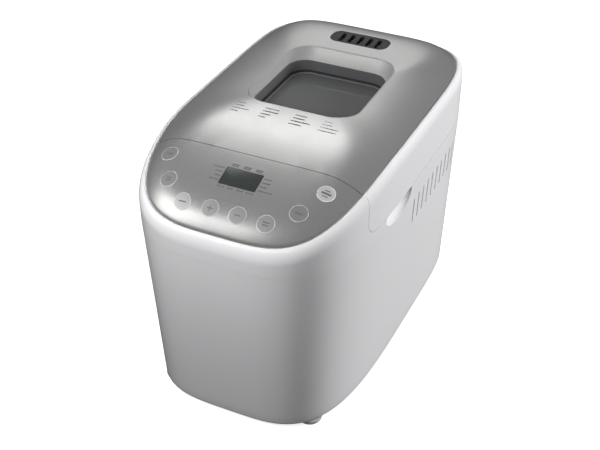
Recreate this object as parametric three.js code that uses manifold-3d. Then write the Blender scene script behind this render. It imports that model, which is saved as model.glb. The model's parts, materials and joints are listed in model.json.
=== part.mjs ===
// A bread machine: drafted plastic housing, crowned silver control panel and hinged lid with a
// window, steel baking chamber with a lift-out pan, and a belt drive that turns the kneading paddle.
// Millimetres. +Z is up, the control panel faces -Y and the lid is hinged along the rear, at +Y.
// The origin is on the floor, under the middle of the machine.

import * as THREE from "three";
import { mergeVertices } from "three/addons/utils/BufferGeometryUtils.js";
import { LoftGeometry } from "three/addons/geometries/LoftGeometry.js";
import Module from "manifold-3d";

const wasm = await Module();
wasm.setup();

// ---------------------------------------------------------------- driving dimensions

const GAP = 0.3; // air between pieces that rest on each other
const WALL = 2.4; // plastic shells
const FAR = 400; // reach of cutting blocks

// Plan outline of the silver top: a superellipse, squarer at the back than at the front.
const TOP = { halfWidth: 125, front: -205.4, back: 203.3, centre: 34.3, frontPower: 3.8, backPower: 5.4 };
// Plan outline of the housing at the floor.
const FLOOR = { halfWidth: 122, front: -203.6, back: 212.8, centre: 38.9, frontPower: 3.8, backPower: 5.3 };
const OUTLINE_POINTS = 40;
const RIM_OUTSET = 7.4; // housing wall outside the silver top
const PLATE_GAP = 0.4; // slit round the silver top
const PLATE_THICK = 1.2;
const FLOOR_Z = 5; // lower edge of the housing
const CREASE_Z = 215; // joint between the lower and the upper housing

// Height of the silver top: level over the lid, falling towards the front, crowned across.
const EDGE_Z = 285.2;
const SLOPE_START_Y = -39.4;
const SLOPE_LENGTH = 166;
const SLOPE_DROP = 38;
const SLOPE_POWER = 1.9;
const BACK_RISE = 4;
const BACK_RISE_START_Y = 100;
const CROWN = 14.6;
const CROWN_SIDE_POWER = 3;
const CROWN_FRONT_POWER = 22;
const CROWN_BACK_POWER = 18;
const DOME_STEPS = [1, 0.93, 0.82, 0.6, 0]; // shares of the outline's radius

const SEAM_Y = -117.5; // slit between the control panel and the lid
const SEAM_HALF_GAP = 0.4;

// Lid
const SKIRT_Z = 226; // lower edge of the lid's side walls
const SKIRT_CORNER = 18; // round front corner of the side walls
const LID_GAP = 0.6; // slit between the lid and the housing
const HINGE = { y: 197, z: 240, radius: 14, pin: 2.5, lugX: 80, lugThick: 10, lugRadius: 6 };
const HINGE_BASE = { halfWidth: 9, thick: 2.4, front: 9, back: 5.6 };
const HINGE_EAR = { thick: 3.8, gap: 0.8, radius: 6 };
const LINER = { flangeZ: 228, flangeThick: 1.6, roofZ: 262, wall: 1.2, back: 184 };

// Window
const WINDOW = { halfWidth: 67, front: -28.4, back: 121.2, corner: 30 };
const WINDOW_SIDE_SLOPE = 5;
const WINDOW_BACK_SLOPE = 15;
const WINDOW_SLOPE_Z = 290;
const GLASS_Z = 270;
const GLASS_THICK = 3;

// Vent grille behind the window
const GRILLE = {
  y: 155.6, halfWidth: 37, halfDepth: 14, corner: 11, slots: 5, pitch: 11.5, slotWidth: 5, margin: 5,
};

// Controls: place of each button on the panel, and the display window
const BUTTON_RADIUS = 9.3;
const BUTTON_THICK = 1.8;
const BUTTON_STEM = 3.2;
const BUTTON_STEM_RADIUS = 2.5;
const BUTTONS = {
  menu_button: [-89.2, -139.5],
  start_stop_button: [89.2, -139.5],
  loaf_size_button: [-73.5, -169.5],
  cancel_button: [73.5, -169.5],
  crust_button: [-46.8, -188.4],
  home_program_button: [46.8, -188.4],
  plus_button: [-15.4, -188.2],
  minus_button: [15.4, -188.2],
};
const DISPLAY = { y: -150.2, halfWidth: 20.6, halfDepth: 11.4, thick: 1.6 };

const HOLE_RISE = 8; // how far the cutters for the panel's holes stand above it
const DISPLAY_HOLE_DEPTH = 20;
const MODULE = { width: 46, depth: 28, thick: 3.4, drop: 8.2 };
const KEYPAD_BOARD = { back: -134, front: -184, drop: 17, thick: 1.6 };

// Feet and base
const FOOT = { radius: 14, chamfer: 2, riseZ: 1.5 };
const FOOT_PLACES = {
  foot_front_left: [-84, -166],
  foot_front_right: [84, -166],
  foot_rear_left: [-88, 176],
  foot_rear_right: [88, 176],
};
const BASE = { lift: 0.4, thick: 2.6, slots: 8, firstY: -20, pitch: 14, halfLength: 50, halfWidth: 2 };

// Rear wall
const REAR_VENT = { count: 7, lowZ: 96, pitch: 9, halfWidth: 45, halfHeight: 1.8 };
const REAR_INLET = { x: 78, z: 34, halfWidth: 15, halfHeight: 11, front: 186, back: 211.2, wall: 3 };
const INLET_PINS = [[-7, -2], [0, 3], [7, -2]];
const REAR_CUT_Y = 190; // cutters for the rear wall start here

// Side vents and finger recesses
const VENT = { firstY: 7.6, pitch: 15, count: 10, lowZ: 167, highZ: 200, width: 3 };
const RECESS = { x: 134, y: -42.5, z: 222, depth: 12, halfLength: 36, halfHeight: 17 };

// Baking chamber and pan
const CHAMBER = { halfWidth: 92, front: -72, back: 165, corner: 24, lowZ: 62, highZ: 222, sheet: 1 };
const DRIVE_Y = 46.5; // the paddle, the drive shaft and the large pulley turn about this line
const DECK_Z = 222.4;
const DECK_THICK = 2.6;
const PAN = { halfWidth: 70, front: -41.5, back: 134.5, corner: 22, lowZ: 82, highZ: 190, sheet: 1.6 };
const PAN_RING = { radius: 42, lowZ: 68, thick: 3 };
const PAN_EAR = { lowZ: 170, halfWidth: 9, reach: 4 };
const BAIL = { pivotZ: 179, halfWidth: 77, reach: 70, barZ: 197, wire: 2.3 };
const ELEMENT = { z: 88, halfWidth: 81, front: -60, back: 153, corner: 20, tube: 3.4, legX: 18 };
const PROBE = { x: 52, z: 130, radius: 4, headRadius: 8 };

// Drive
const MOTOR = { y: -146, radius: 36, lowZ: 48, highZ: 118, boss: 14 };
const BELT_LOW_Z = 24;
const BELT_WIDTH = 10;
const BELT_THICK = 2.4;
const LARGE_PULLEY_RADIUS = 55;
const SMALL_PULLEY_RADIUS = 11;
const PULLEY_FLANGE = { rise: 2.4, thick: 1.2, beside: 1.6 };
const PULLEY_HUB = 10;
const SHAFT_RADIUS = 4;
const SHAFT_BORE = SHAFT_RADIUS + GAP;
const BUSH = { lowZ: 76, radius: 9, flangeRadius: 12, flangeThick: 3 };
const PADDLE = { lowZ: 90.5, highZ: 121, hubRadius: 12, thick: 5, shaftTopZ: 112 };
const COUPLING = { lowZ: 63.5, wingZ: 69.5, wingTopZ: 74.5, dogTopZ: 73, dogPlace: 8, radius: 14 };
const BEARING = { lowZ: 41, flangeZ: 53.7, highZ: 61, radius: 11, flangeRadius: 20 };
const BRIDGE = { halfWidth: 80, halfDepth: 32, lowZ: 49.6, highZ: 53.4, legX: 77, legY: 26 };
const FAN = { radius: 30, hub: 10, blades: 8, bladeLength: 21, bladeThick: 1.6, bladeHigh: 9 };
const BRACKET = { margin: 14, legX: 11, legHalf: 3, halfDepth: 30, thick: 3 };
const POWER_BOARD = { x: -98, y: 60, thick: 1.6, halfLength: 60, lowZ: 20, highZ: 140 };

// ---------------------------------------------------------------- solids

function solid(geometry) {
  const bare = new THREE.BufferGeometry();
  bare.setAttribute("position", geometry.attributes.position);
  bare.setIndex(geometry.index);
  const merged = mergeVertices(bare, 1e-4);
  const index = merged.index.array;
  const kept = [];
  for (let i = 0; i < index.length; i += 3) {
    const [a, b, c] = [index[i], index[i + 1], index[i + 2]];
    if (a !== b && b !== c && c !== a) kept.push(a, b, c);
  }
  const vertProperties = new Float32Array(merged.attributes.position.array);
  const triVerts = new Uint32Array(kept);
  return new wasm.Manifold(new wasm.Mesh({ numProp: 3, vertProperties, triVerts }));
}

function meshOf(name, manifold, material) {
  const { vertProperties, triVerts, numProp } = manifold.getMesh();
  const geometry = new THREE.BufferGeometry();
  const positions = [];
  for (let i = 0; i < vertProperties.length; i += numProp) {
    positions.push(vertProperties[i], vertProperties[i + 1], vertProperties[i + 2]);
  }
  geometry.setAttribute("position", new THREE.Float32BufferAttribute(positions, 3));
  geometry.setIndex(Array.from(triVerts));
  geometry.computeVertexNormals();
  const mesh = new THREE.Mesh(geometry, material);
  mesh.name = name;
  return mesh;
}

function block(x0, x1, y0, y1, z0, z1) {
  const box = new THREE.BoxGeometry(x1 - x0, y1 - y0, z1 - z0);
  return solid(box.translate((x0 + x1) / 2, (y0 + y1) / 2, (z0 + z1) / 2));
}

// A round bar along Z.
function rod(radius, x, y, z0, z1, sides = 16) {
  const bar = new THREE.CylinderGeometry(radius, radius, z1 - z0, sides);
  return solid(bar.rotateX(Math.PI / 2).translate(x, y, (z0 + z1) / 2));
}

// A round bar along X.
function crossRod(radius, y, z, x0, x1, sides = 12) {
  const bar = new THREE.CylinderGeometry(radius, radius, x1 - x0, sides);
  return solid(bar.rotateZ(Math.PI / 2).translate((x0 + x1) / 2, y, z));
}

// A profile of [radius, z] points turned about the upright line through (x, y).
function turned(profile, x, y, sides = 20) {
  const points = profile.map(([radius, z]) => new THREE.Vector2(radius, z));
  const lathe = new THREE.LatheGeometry(points, sides);
  return solid(lathe.rotateX(Math.PI / 2).translate(x, y, 0));
}

function upright(shape, z0, z1, curveSegments = 3) {
  const settings = { depth: z1 - z0, bevelEnabled: false, curveSegments };
  return solid(new THREE.ExtrudeGeometry(shape, settings).translate(0, 0, z0));
}

// An outline drawn in the Y-Z plane, run along X.
function acrossX(shape, x0, x1, curveSegments = 5) {
  const settings = { depth: x1 - x0, bevelEnabled: false, curveSegments };
  const run = new THREE.ExtrudeGeometry(shape, settings);
  const turn = new THREE.Matrix4().set(0, 0, 1, x0, 1, 0, 0, 0, 0, 1, 0, 0, 0, 0, 0, 1);
  return solid(run.applyMatrix4(turn));
}

function roundedRectangle(x0, x1, y0, y1, radius) {
  const shape = new THREE.Shape();
  shape.moveTo(x0 + radius, y0);
  shape.lineTo(x1 - radius, y0);
  shape.absarc(x1 - radius, y0 + radius, radius, -Math.PI / 2, 0);
  shape.lineTo(x1, y1 - radius);
  shape.absarc(x1 - radius, y1 - radius, radius, 0, Math.PI / 2);
  shape.lineTo(x0 + radius, y1);
  shape.absarc(x0 + radius, y1 - radius, radius, Math.PI / 2, Math.PI);
  shape.lineTo(x0, y0 + radius);
  shape.absarc(x0 + radius, y0 + radius, radius, Math.PI, Math.PI * 1.5);
  return shape;
}

function roundBox(x0, x1, y0, y1, z0, z1, radius) {
  return upright(roundedRectangle(x0, x1, y0, y1, radius), z0, z1);
}

function keepSide(manifold, x0, x1, y0, y1, z0, z1) {
  return manifold.intersect(block(x0, x1, y0, y1, z0, z1));
}

// ---------------------------------------------------------------- the outer form

// One point of a plan outline, moved out by outset or scaled by share.
function outlinePoint(plan, angle, outset, share = 1) {
  const towardsBack = Math.sin(angle) >= 0;
  const power = towardsBack ? plan.backPower : plan.frontPower;
  const depth = towardsBack ? plan.back - plan.centre : plan.centre - plan.front;
  const bend = (value) => Math.sign(value) * Math.abs(value) ** (2 / power);
  const x = (plan.halfWidth + outset) * share * bend(Math.cos(angle));
  const y = plan.centre + (depth + outset) * share * bend(Math.sin(angle));
  return [x, y];
}

function edgeHeight(y) {
  const down = Math.max(0, (SLOPE_START_Y - y) / SLOPE_LENGTH);
  const up = Math.max(0, (y - BACK_RISE_START_Y) / (TOP.back - BACK_RISE_START_Y));
  return EDGE_Z - SLOPE_DROP * down ** SLOPE_POWER + BACK_RISE * up ** 2;
}

// Height of the silver top over (x, y): its edge height, plus a crown that fades out at the edge.
function topHeight(x, y) {
  const towardsBack = y >= TOP.centre;
  const power = towardsBack ? TOP.backPower : TOP.frontPower;
  const depth = towardsBack ? TOP.back - TOP.centre : TOP.centre - TOP.front;
  const across = Math.abs(x / TOP.halfWidth) ** power;
  const along = Math.abs((y - TOP.centre) / depth) ** power;
  const share = (across + along) ** (1 / power);
  const endPower = towardsBack ? CROWN_BACK_POWER : CROWN_FRONT_POWER;
  const blend = along / Math.max(across + along, 1e-9);
  const fade = CROWN_SIDE_POWER + (endPower - CROWN_SIDE_POWER) * blend;
  return edgeHeight(y) + CROWN * Math.max(0, 1 - share ** fade);
}

// A ring of points round a plan outline; height is a number or a function of the point.
function ring(plan, outset, height, share = 1) {
  const points = [];
  for (let i = 0; i < OUTLINE_POINTS; i += 1) {
    const [x, y] = outlinePoint(plan, (i / OUTLINE_POINTS) * Math.PI * 2, outset, share);
    points.push(new THREE.Vector3(x, y, typeof height === "number" ? height : height(x, y)));
  }
  return points;
}

function domeRings(drop) {
  return DOME_STEPS.map((share) => ring(TOP, 0, (x, y) => topHeight(x, y) - drop, share));
}

// Skins rings whose first and last have shrunk to a point.
function loft(sections) {
  return solid(new LoftGeometry(sections));
}

// The whole machine's outer form, moved in by inset. Inset 0 also has the rim round the silver top.
function bodyForm(inset, lowZ = FLOOR_Z) {
  const rimDrop = PLATE_THICK + GAP + inset;
  const sections = [
    ring(FLOOR, 0, lowZ, 0),
    ring(FLOOR, -inset - (inset === 0 ? 4 : 0), lowZ),
    ring(FLOOR, -inset, FLOOR_Z + 5),
    ring(TOP, RIM_OUTSET - 0.6 - inset, CREASE_Z),
    ring(TOP, RIM_OUTSET - inset, (x, y) => edgeHeight(y) - 12 - inset * 0.3),
    ring(TOP, RIM_OUTSET - 1 - inset, (x, y) => edgeHeight(y) - 6 - inset * 0.5),
    ring(TOP, RIM_OUTSET - 3.4 - inset, (x, y) => edgeHeight(y) - 1.8 - inset * 0.8),
  ];
  if (inset === 0) {
    sections.push(ring(TOP, 1.4, (x, y) => edgeHeight(y) + 0.1));
    sections.push(ring(TOP, PLATE_GAP, (x, y) => edgeHeight(y) - 0.1));
    sections.push(ring(TOP, PLATE_GAP, (x, y) => edgeHeight(y) - rimDrop));
  } else {
    sections.push(ring(TOP, 1.2 - inset, (x, y) => edgeHeight(y) - rimDrop - 0.3));
  }
  return loft([...sections, ...domeRings(rimDrop)]);
}

// Everything below the silver top, lowered by drop, down to a level under the lid.
function domeForm(drop, outset) {
  const lowZ = 210;
  const edge = ring(TOP, outset, (x, y) => edgeHeight(y) - drop);
  return loft([ring(TOP, 0, lowZ, 0), ring(TOP, outset, lowZ), edge, ...domeRings(drop)]);
}

// A slab that follows the silver top, between two depths below it.
function domeSlab(highDrop, lowDrop) {
  return domeForm(highDrop, 0.001).subtract(domeForm(lowDrop, 5));
}

// The side view of the lid, grown by outset, as a prism across the machine.
function lidSpace(outset) {
  const front = SEAM_Y + SEAM_HALF_GAP - outset;
  const low = SKIRT_Z - outset;
  const corner = SKIRT_CORNER + outset;
  const shape = new THREE.Shape();
  shape.moveTo(FAR, FAR);
  shape.lineTo(front, FAR);
  shape.lineTo(front, low + corner);
  shape.absarc(front + corner, low + corner, corner, Math.PI, Math.PI * 1.5);
  if (outset === 0) {
    shape.lineTo(HINGE.y, low);
    shape.absarc(HINGE.y, HINGE.z, HINGE.radius, -Math.PI / 2, 0);
    shape.lineTo(FAR, HINGE.z + 2);
  } else {
    shape.lineTo(FAR, low);
  }
  return acrossX(shape, -FAR, FAR);
}

const OUTER = bodyForm(0);
const SKIN = OUTER.subtract(bodyForm(WALL, 0));
const FITTED = bodyForm(WALL + GAP, 0); // what fits inside the skin
const LID_SPACE = lidSpace(0);
const LID_CLEARANCE = lidSpace(LID_GAP);

// ---------------------------------------------------------------- housing

function fingerRecess(grow) {
  const ball = new THREE.SphereGeometry(1, 12, 6);
  ball.scale(RECESS.depth + grow, RECESS.halfLength + grow, RECESS.halfHeight + grow);
  const left = solid(ball.clone().translate(-RECESS.x, RECESS.y, RECESS.z));
  return left.add(solid(ball.translate(RECESS.x, RECESS.y, RECESS.z)));
}

function sideVents() {
  let slots = null;
  for (let i = 0; i < VENT.count; i += 1) {
    const y = VENT.firstY + i * VENT.pitch;
    const slot = block(-FAR, FAR, y - VENT.width / 2, y + VENT.width / 2, VENT.lowZ, VENT.highZ);
    slots = slots ? slots.add(slot) : slot;
  }
  return slots;
}

function rearVents() {
  let slots = null;
  const { count, lowZ, pitch, halfWidth, halfHeight } = REAR_VENT;
  for (let i = 0; i < count; i += 1) {
    const z = lowZ + i * pitch;
    const slot = block(-halfWidth, halfWidth, REAR_CUT_Y, FAR, z - halfHeight, z + halfHeight);
    slots = slots ? slots.add(slot) : slot;
  }
  return slots;
}

function inletOpening() {
  const { x, z, halfWidth, halfHeight } = REAR_INLET;
  return block(x - halfWidth, x + halfWidth, REAR_CUT_Y, FAR, z - halfHeight, z + halfHeight);
}

function housingSkin() {
  const pockets = fingerRecess(WALL).intersect(OUTER);
  return SKIN.add(pockets).subtract(fingerRecess(0)).subtract(LID_CLEARANCE);
}

function lowerHousing(skin) {
  const low = keepSide(skin, -FAR, FAR, -FAR, FAR, 0, CREASE_Z - GAP / 2);
  return low.subtract(sideVents()).subtract(rearVents()).subtract(inletOpening());
}

function upperHousing(skin) {
  const high = keepSide(skin, -FAR, FAR, -FAR, FAR, CREASE_Z + GAP / 2, FAR);
  const back = SEAM_Y - SEAM_HALF_GAP;
  const bulkhead = block(-FAR, FAR, back - WALL, back, DECK_Z + DECK_THICK + GAP, FAR).intersect(OUTER);
  const holes = buttonHoles(BUTTON_RADIUS + 0.5).add(displayBlock(GAP, DISPLAY_HOLE_DEPTH));
  return high.add(bulkhead).subtract(LID_CLEARANCE).subtract(holes);
}

function basePlate() {
  const { lift, thick, slots, firstY, pitch, halfLength, halfWidth } = BASE;
  const plate = keepSide(FITTED, -FAR, FAR, -FAR, FAR, FLOOR_Z + lift, FLOOR_Z + lift + thick);
  let holes = null;
  for (let i = 0; i < slots; i += 1) {
    const y = firstY + i * pitch;
    const slot = block(-halfLength, halfLength, y - halfWidth, y + halfWidth, 0, FLOOR_Z + 10);
    holes = holes ? holes.add(slot) : slot;
  }
  return plate.subtract(holes);
}

function foot([x, y]) {
  const { radius, chamfer, riseZ } = FOOT;
  const topZ = FLOOR_Z + 0.1;
  return turned([[0, 0], [radius - chamfer, 0], [radius, riseZ], [radius, topZ], [0, topZ]], x, y, 16);
}

// ---------------------------------------------------------------- control panel

function onPanel(geometry, [x, y], drop) {
  const step = 1;
  const slopeX = (topHeight(x + step, y) - topHeight(x - step, y)) / (2 * step);
  const slopeY = (topHeight(x, y + step) - topHeight(x, y - step)) / (2 * step);
  const normal = new THREE.Vector3(-slopeX, -slopeY, 1).normalize();
  const turn = new THREE.Quaternion().setFromUnitVectors(new THREE.Vector3(0, 0, 1), normal);
  const place = new THREE.Vector3(x, y, topHeight(x, y)).addScaledVector(normal, -drop);
  return geometry.applyQuaternion(turn).translate(place.x, place.y, place.z);
}

function panelDisc(radius, centre, highDrop, lowDrop, sides = 12) {
  const disc = new THREE.CylinderGeometry(radius, radius, lowDrop - highDrop, sides);
  return solid(onPanel(disc.rotateX(Math.PI / 2), centre, (highDrop + lowDrop) / 2));
}

function buttonHoles(radius) {
  let holes = null;
  for (const centre of Object.values(BUTTONS)) {
    const hole = panelDisc(radius, centre, -HOLE_RISE, BUTTON_THICK + 10);
    holes = holes ? holes.add(hole) : hole;
  }
  return holes;
}

function button(centre) {
  const cap = panelDisc(BUTTON_RADIUS, centre, 0.1, BUTTON_THICK);
  const stem = panelDisc(BUTTON_STEM_RADIUS, centre, BUTTON_THICK - 0.5, BUTTON_THICK + BUTTON_STEM, 8);
  return cap.add(stem);
}

// A block over the display's place, square to the panel there.
function displayBlock(grow, deep, highDrop = -HOLE_RISE) {
  const { y, halfWidth, halfDepth } = DISPLAY;
  const size = [2 * (halfWidth + grow), 2 * (halfDepth + grow), deep - highDrop];
  return solid(onPanel(new THREE.BoxGeometry(...size), [0, y], (deep + highDrop) / 2));
}

function controlPanelPlate(topSkin) {
  const plate = keepSide(topSkin, -FAR, FAR, -FAR, SEAM_Y - SEAM_HALF_GAP, 0, FAR);
  return plate.subtract(buttonHoles(BUTTON_RADIUS + GAP)).subtract(displayBlock(GAP, DISPLAY_HOLE_DEPTH));
}

function displayWindow() {
  return displayBlock(0, DISPLAY.thick, 0.2);
}

function displayModule() {
  const { width, depth, thick, drop } = MODULE;
  return solid(onPanel(new THREE.BoxGeometry(width, depth, thick), [0, DISPLAY.y], drop));
}

// The board lies parallel to the panel, under the buttons' stems.
function keypadBoard() {
  const { back, front, drop, thick } = KEYPAD_BOARD;
  const outline = [[-96, 0], [-86, -30], [-56, front - back], [56, front - back], [86, -30], [96, 0]];
  const shape = new THREE.Shape(outline.map(([x, y]) => new THREE.Vector2(x, y)));
  const board = new THREE.ExtrudeGeometry(shape, { depth: thick, bevelEnabled: false });
  const slope = Math.atan2(topHeight(0, back) - topHeight(0, front), back - front);
  return solid(board.rotateX(slope).translate(0, back, topHeight(0, back) - drop));
}

// ---------------------------------------------------------------- lid

function windowHole(outset, z0, z1) {
  const { halfWidth, front, back, corner } = WINDOW;
  const wide = halfWidth + outset;
  return roundBox(-wide, wide, front - outset, back + outset, z0, z1, corner + outset);
}

function grilleHole(outset, z0, z1) {
  const { y, halfWidth, halfDepth, corner } = GRILLE;
  const wide = halfWidth + outset;
  return roundBox(-wide, wide, y - halfDepth - outset, y + halfDepth + outset, z0, z1, corner + outset);
}

function lidTopPlate(topSkin) {
  const plate = keepSide(topSkin, -FAR, FAR, SEAM_Y + SEAM_HALF_GAP, FAR, 0, FAR);
  return plate.subtract(windowHole(0, 200, FAR)).subtract(grilleHole(0, 200, FAR));
}

function hingeEars() {
  const { y, z, lugX, lugThick } = HINGE;
  let ears = null;
  for (const side of [-1, 1]) {
    for (const inward of [-1, 1]) {
      const near = lugX + inward * (lugThick / 2 + HINGE_EAR.gap);
      const far = near + inward * HINGE_EAR.thick;
      const x0 = Math.min(side * near, side * far);
      const x1 = Math.max(side * near, side * far);
      const { radius } = HINGE_EAR;
      const rib = block(x0, x1, y - radius, y + radius, z, FAR).add(crossRod(radius, y, z, x0, x1));
      ears = ears ? ears.add(rib) : rib;
    }
  }
  return ears.intersect(bodyForm(WALL / 2, 0)).subtract(crossRod(HINGE.pin + GAP, y, z, -FAR, FAR));
}

// Room in the lid's rear wall for the brackets, which its lower edge passes as the lid opens.
function hingeNotches() {
  const { y, z, lugX } = HINGE;
  const wide = HINGE_BASE.halfWidth + HINGE_EAR.gap;
  const notch = (x) => block(x - wide, x + wide, y - 12, FAR, 0, z + 8);
  return notch(-lugX).add(notch(lugX));
}

function lidShell() {
  const front = SEAM_Y + SEAM_HALF_GAP;
  const skin = SKIN.intersect(LID_SPACE).subtract(hingeNotches());
  const lip = block(-FAR, FAR, front, front + WALL, 262, FAR).intersect(OUTER);
  const body = skin.add(lip).add(hingeEars());
  return body.subtract(windowHole(1, 200, FAR)).subtract(grilleHole(GAP, 200, FAR));
}

// Rounded-rectangle ring of the window, each side moved in by its own amount.
function windowRing(side, back, height) {
  const { halfWidth, front, corner } = WINDOW;
  const wide = halfWidth - side;
  const shape = roundedRectangle(-wide, wide, front + side, WINDOW.back - back, corner - side);
  const points = shape.extractPoints(4).shape;
  return points.slice(0, -1).map(({ x, y }) => {
    return new THREE.Vector3(x, y, typeof height === "number" ? height : height(x, y));
  });
}

function windowFrame() {
  const lowZ = GLASS_Z + GLASS_THICK + GAP;
  const slopeSide = WINDOW_SIDE_SLOPE;
  const slopeBack = WINDOW_BACK_SLOPE;
  const outer = windowRing(GAP, GAP, lowZ);
  const sections = [
    outer,
    windowRing(GAP, GAP, (x, y) => topHeight(x, y) - 0.6),
    windowRing(GAP + 1, GAP + 1, (x, y) => topHeight(x, y) + 0.1),
    windowRing(slopeSide, slopeBack, WINDOW_SLOPE_Z),
    windowRing(slopeSide + 0.5, slopeBack + 0.5, lowZ),
    outer,
  ];
  return solid(new LoftGeometry(sections));
}

function windowGlass() {
  return windowHole(-GAP, GLASS_Z, GLASS_Z + GLASS_THICK);
}

// The recess in the lid's underside, over the pan.
function linerRecess(outset, z0, z1) {
  const { halfWidth, front, back, corner } = CHAMBER;
  const wide = halfWidth - 4 + outset;
  return roundBox(-wide, wide, front + 4 - outset, back - 4 + outset, z0, z1, corner + outset);
}

function lidLiner() {
  const { flangeZ, flangeThick, roofZ, wall, back } = LINER;
  const front = SEAM_Y + SEAM_HALF_GAP + WALL + 1;
  const flange = keepSide(FITTED, -FAR, FAR, front, back, flangeZ, flangeZ + flangeThick);
  const tub = linerRecess(wall, flangeZ, roofZ + wall);
  const tunnel = windowHole(-1, roofZ, GLASS_Z - GAP).subtract(windowHole(-3, roofZ - 1, FAR));
  const shape = flange.add(tub).subtract(linerRecess(0, 0, roofZ)).add(tunnel);
  return shape.subtract(windowHole(-9, 200, FAR));
}

function innerGlass() {
  return windowHole(-3 - GAP, LINER.roofZ + LINER.wall + GAP, LINER.roofZ + LINER.wall + GAP + 3);
}

function ventGrille() {
  const { y, slots, pitch, slotWidth, halfDepth } = GRILLE;
  const insert = grilleHole(-GAP, 200, FAR).intersect(domeSlab(0.2, 7));
  let cuts = null;
  for (let i = 0; i < slots; i += 1) {
    const x = (i - (slots - 1) / 2) * pitch;
    const half = slotWidth / 2;
    const reach = halfDepth - GRILLE.margin;
    const slot = roundBox(x - half, x + half, y - reach, y + reach, 200, FAR, half - 0.1);
    cuts = cuts ? cuts.add(slot) : slot;
  }
  return insert.subtract(cuts);
}

function lidSeal() {
  const lowZ = DECK_Z + DECK_THICK + GAP;
  const highZ = LINER.flangeZ - GAP;
  return linerRecess(10, lowZ, highZ).subtract(linerRecess(5, 0, FAR));
}

function hingeBracket(side) {
  const { y, z, lugX, lugThick, lugRadius, pin } = HINGE;
  const x = side * lugX;
  const low = DECK_Z + DECK_THICK + GAP;
  const half = lugThick / 2;
  const { halfWidth, thick, front, back } = HINGE_BASE;
  const eye = crossRod(lugRadius, y, z, x - half, x + half);
  const lug = block(x - half, x + half, y - lugRadius, y + lugRadius, low, z).add(eye);
  const base = block(x - halfWidth, x + halfWidth, y - front, y + back, low, low + thick);
  return lug.add(base).subtract(crossRod(pin + GAP, y, z, -FAR, FAR));
}

function hingePin(side) {
  const reach = HINGE.lugThick / 2 + HINGE_EAR.gap + HINGE_EAR.thick + 1.5;
  const x = side * HINGE.lugX;
  return crossRod(HINGE.pin, HINGE.y, HINGE.z, x - reach, x + reach);
}

// ---------------------------------------------------------------- chamber and pan

function chamberSpace(outset, z0, z1) {
  const { halfWidth, front, back, corner } = CHAMBER;
  const wide = halfWidth + outset;
  return roundBox(-wide, wide, front - outset, back + outset, z0, z1, corner + outset);
}

function bakingChamber() {
  const { lowZ, highZ, sheet } = CHAMBER;
  const walls = chamberSpace(0, lowZ, highZ).subtract(chamberSpace(-sheet, lowZ + sheet, FAR));
  const flange = chamberSpace(8, highZ - 1.2, highZ).subtract(chamberSpace(-sheet, 0, FAR));
  const shaftHole = rod(15, 0, DRIVE_Y, 0, lowZ + 10);
  const legs = elementLegHoles();
  const probeHole = alongY(PROBE.radius + GAP, PROBE.x, -FAR, 0, PROBE.z);
  return walls.add(flange).subtract(shaftHole).subtract(legs).subtract(probeHole);
}

function alongY(radius, x, y0, y1, z, sides = 16) {
  const bar = new THREE.CylinderGeometry(radius, radius, y1 - y0, sides);
  return solid(bar.translate(x, (y0 + y1) / 2, z));
}

function elementLegHoles() {
  const { legX, z, tube } = ELEMENT;
  const reach = [-FAR, ELEMENT.front - 2];
  return alongY(tube + 1.6, -legX, ...reach, z).add(alongY(tube + 1.6, legX, ...reach, z));
}

// A tube bent once round the pan, with both ends led out through the chamber's front wall.
function heatingElement() {
  const { z, halfWidth, front, back, corner, tube, legX } = ELEMENT;
  const path = new THREE.CurvePath();
  const at = (x, y) => new THREE.Vector3(x, y, z);
  const corners = [
    at(-legX, CHAMBER.front - 24), at(-legX, front), at(-halfWidth, front), at(-halfWidth, back),
    at(halfWidth, back), at(halfWidth, front), at(legX, front), at(legX, CHAMBER.front - 24),
  ];
  let from = corners[0];
  for (let i = 1; i < corners.length - 1; i += 1) {
    const radius = i === 1 || i === corners.length - 2 ? 10 : corner;
    const before = corners[i].clone().lerp(corners[i - 1], radius / corners[i].distanceTo(corners[i - 1]));
    const after = corners[i].clone().lerp(corners[i + 1], radius / corners[i].distanceTo(corners[i + 1]));
    path.add(new THREE.LineCurve3(from, before));
    path.add(new THREE.QuadraticBezierCurve3(before, corners[i], after));
    from = after;
  }
  path.add(new THREE.LineCurve3(from, corners[corners.length - 1]));
  const section = new THREE.Shape().absarc(0, 0, tube, 0, Math.PI * 2);
  const settings = { steps: 48, extrudePath: path, bevelEnabled: false, curveSegments: 4 };
  return solid(new THREE.ExtrudeGeometry(section, settings));
}

function temperatureProbe() {
  const { x, z, radius, headRadius } = PROBE;
  const stem = alongY(radius, x, CHAMBER.front - 14, CHAMBER.front + 16, z);
  return stem.add(alongY(headRadius, x, CHAMBER.front - 18, CHAMBER.front - 1.5, z));
}

function chamberDeck() {
  const { halfWidth, front, back, corner } = CHAMBER;
  const deck = keepSide(FITTED, -FAR, FAR, -FAR, FAR, DECK_Z, DECK_Z + DECK_THICK);
  const wide = halfWidth - 3;
  const opening = roundBox(-wide, wide, front + 3, back - 3, 0, FAR, corner);
  const pockets = fingerRecess(WALL + GAP);
  return keepSide(deck, -FAR, FAR, SEAM_Y - 26, FAR, 0, FAR).subtract(opening).subtract(pockets);
}

function panForm(outset, z0, z1) {
  const { halfWidth, front, back, corner } = PAN;
  const wide = halfWidth + outset;
  return roundBox(-wide, wide, front - outset, back + outset, z0, z1, corner + outset);
}

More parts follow.
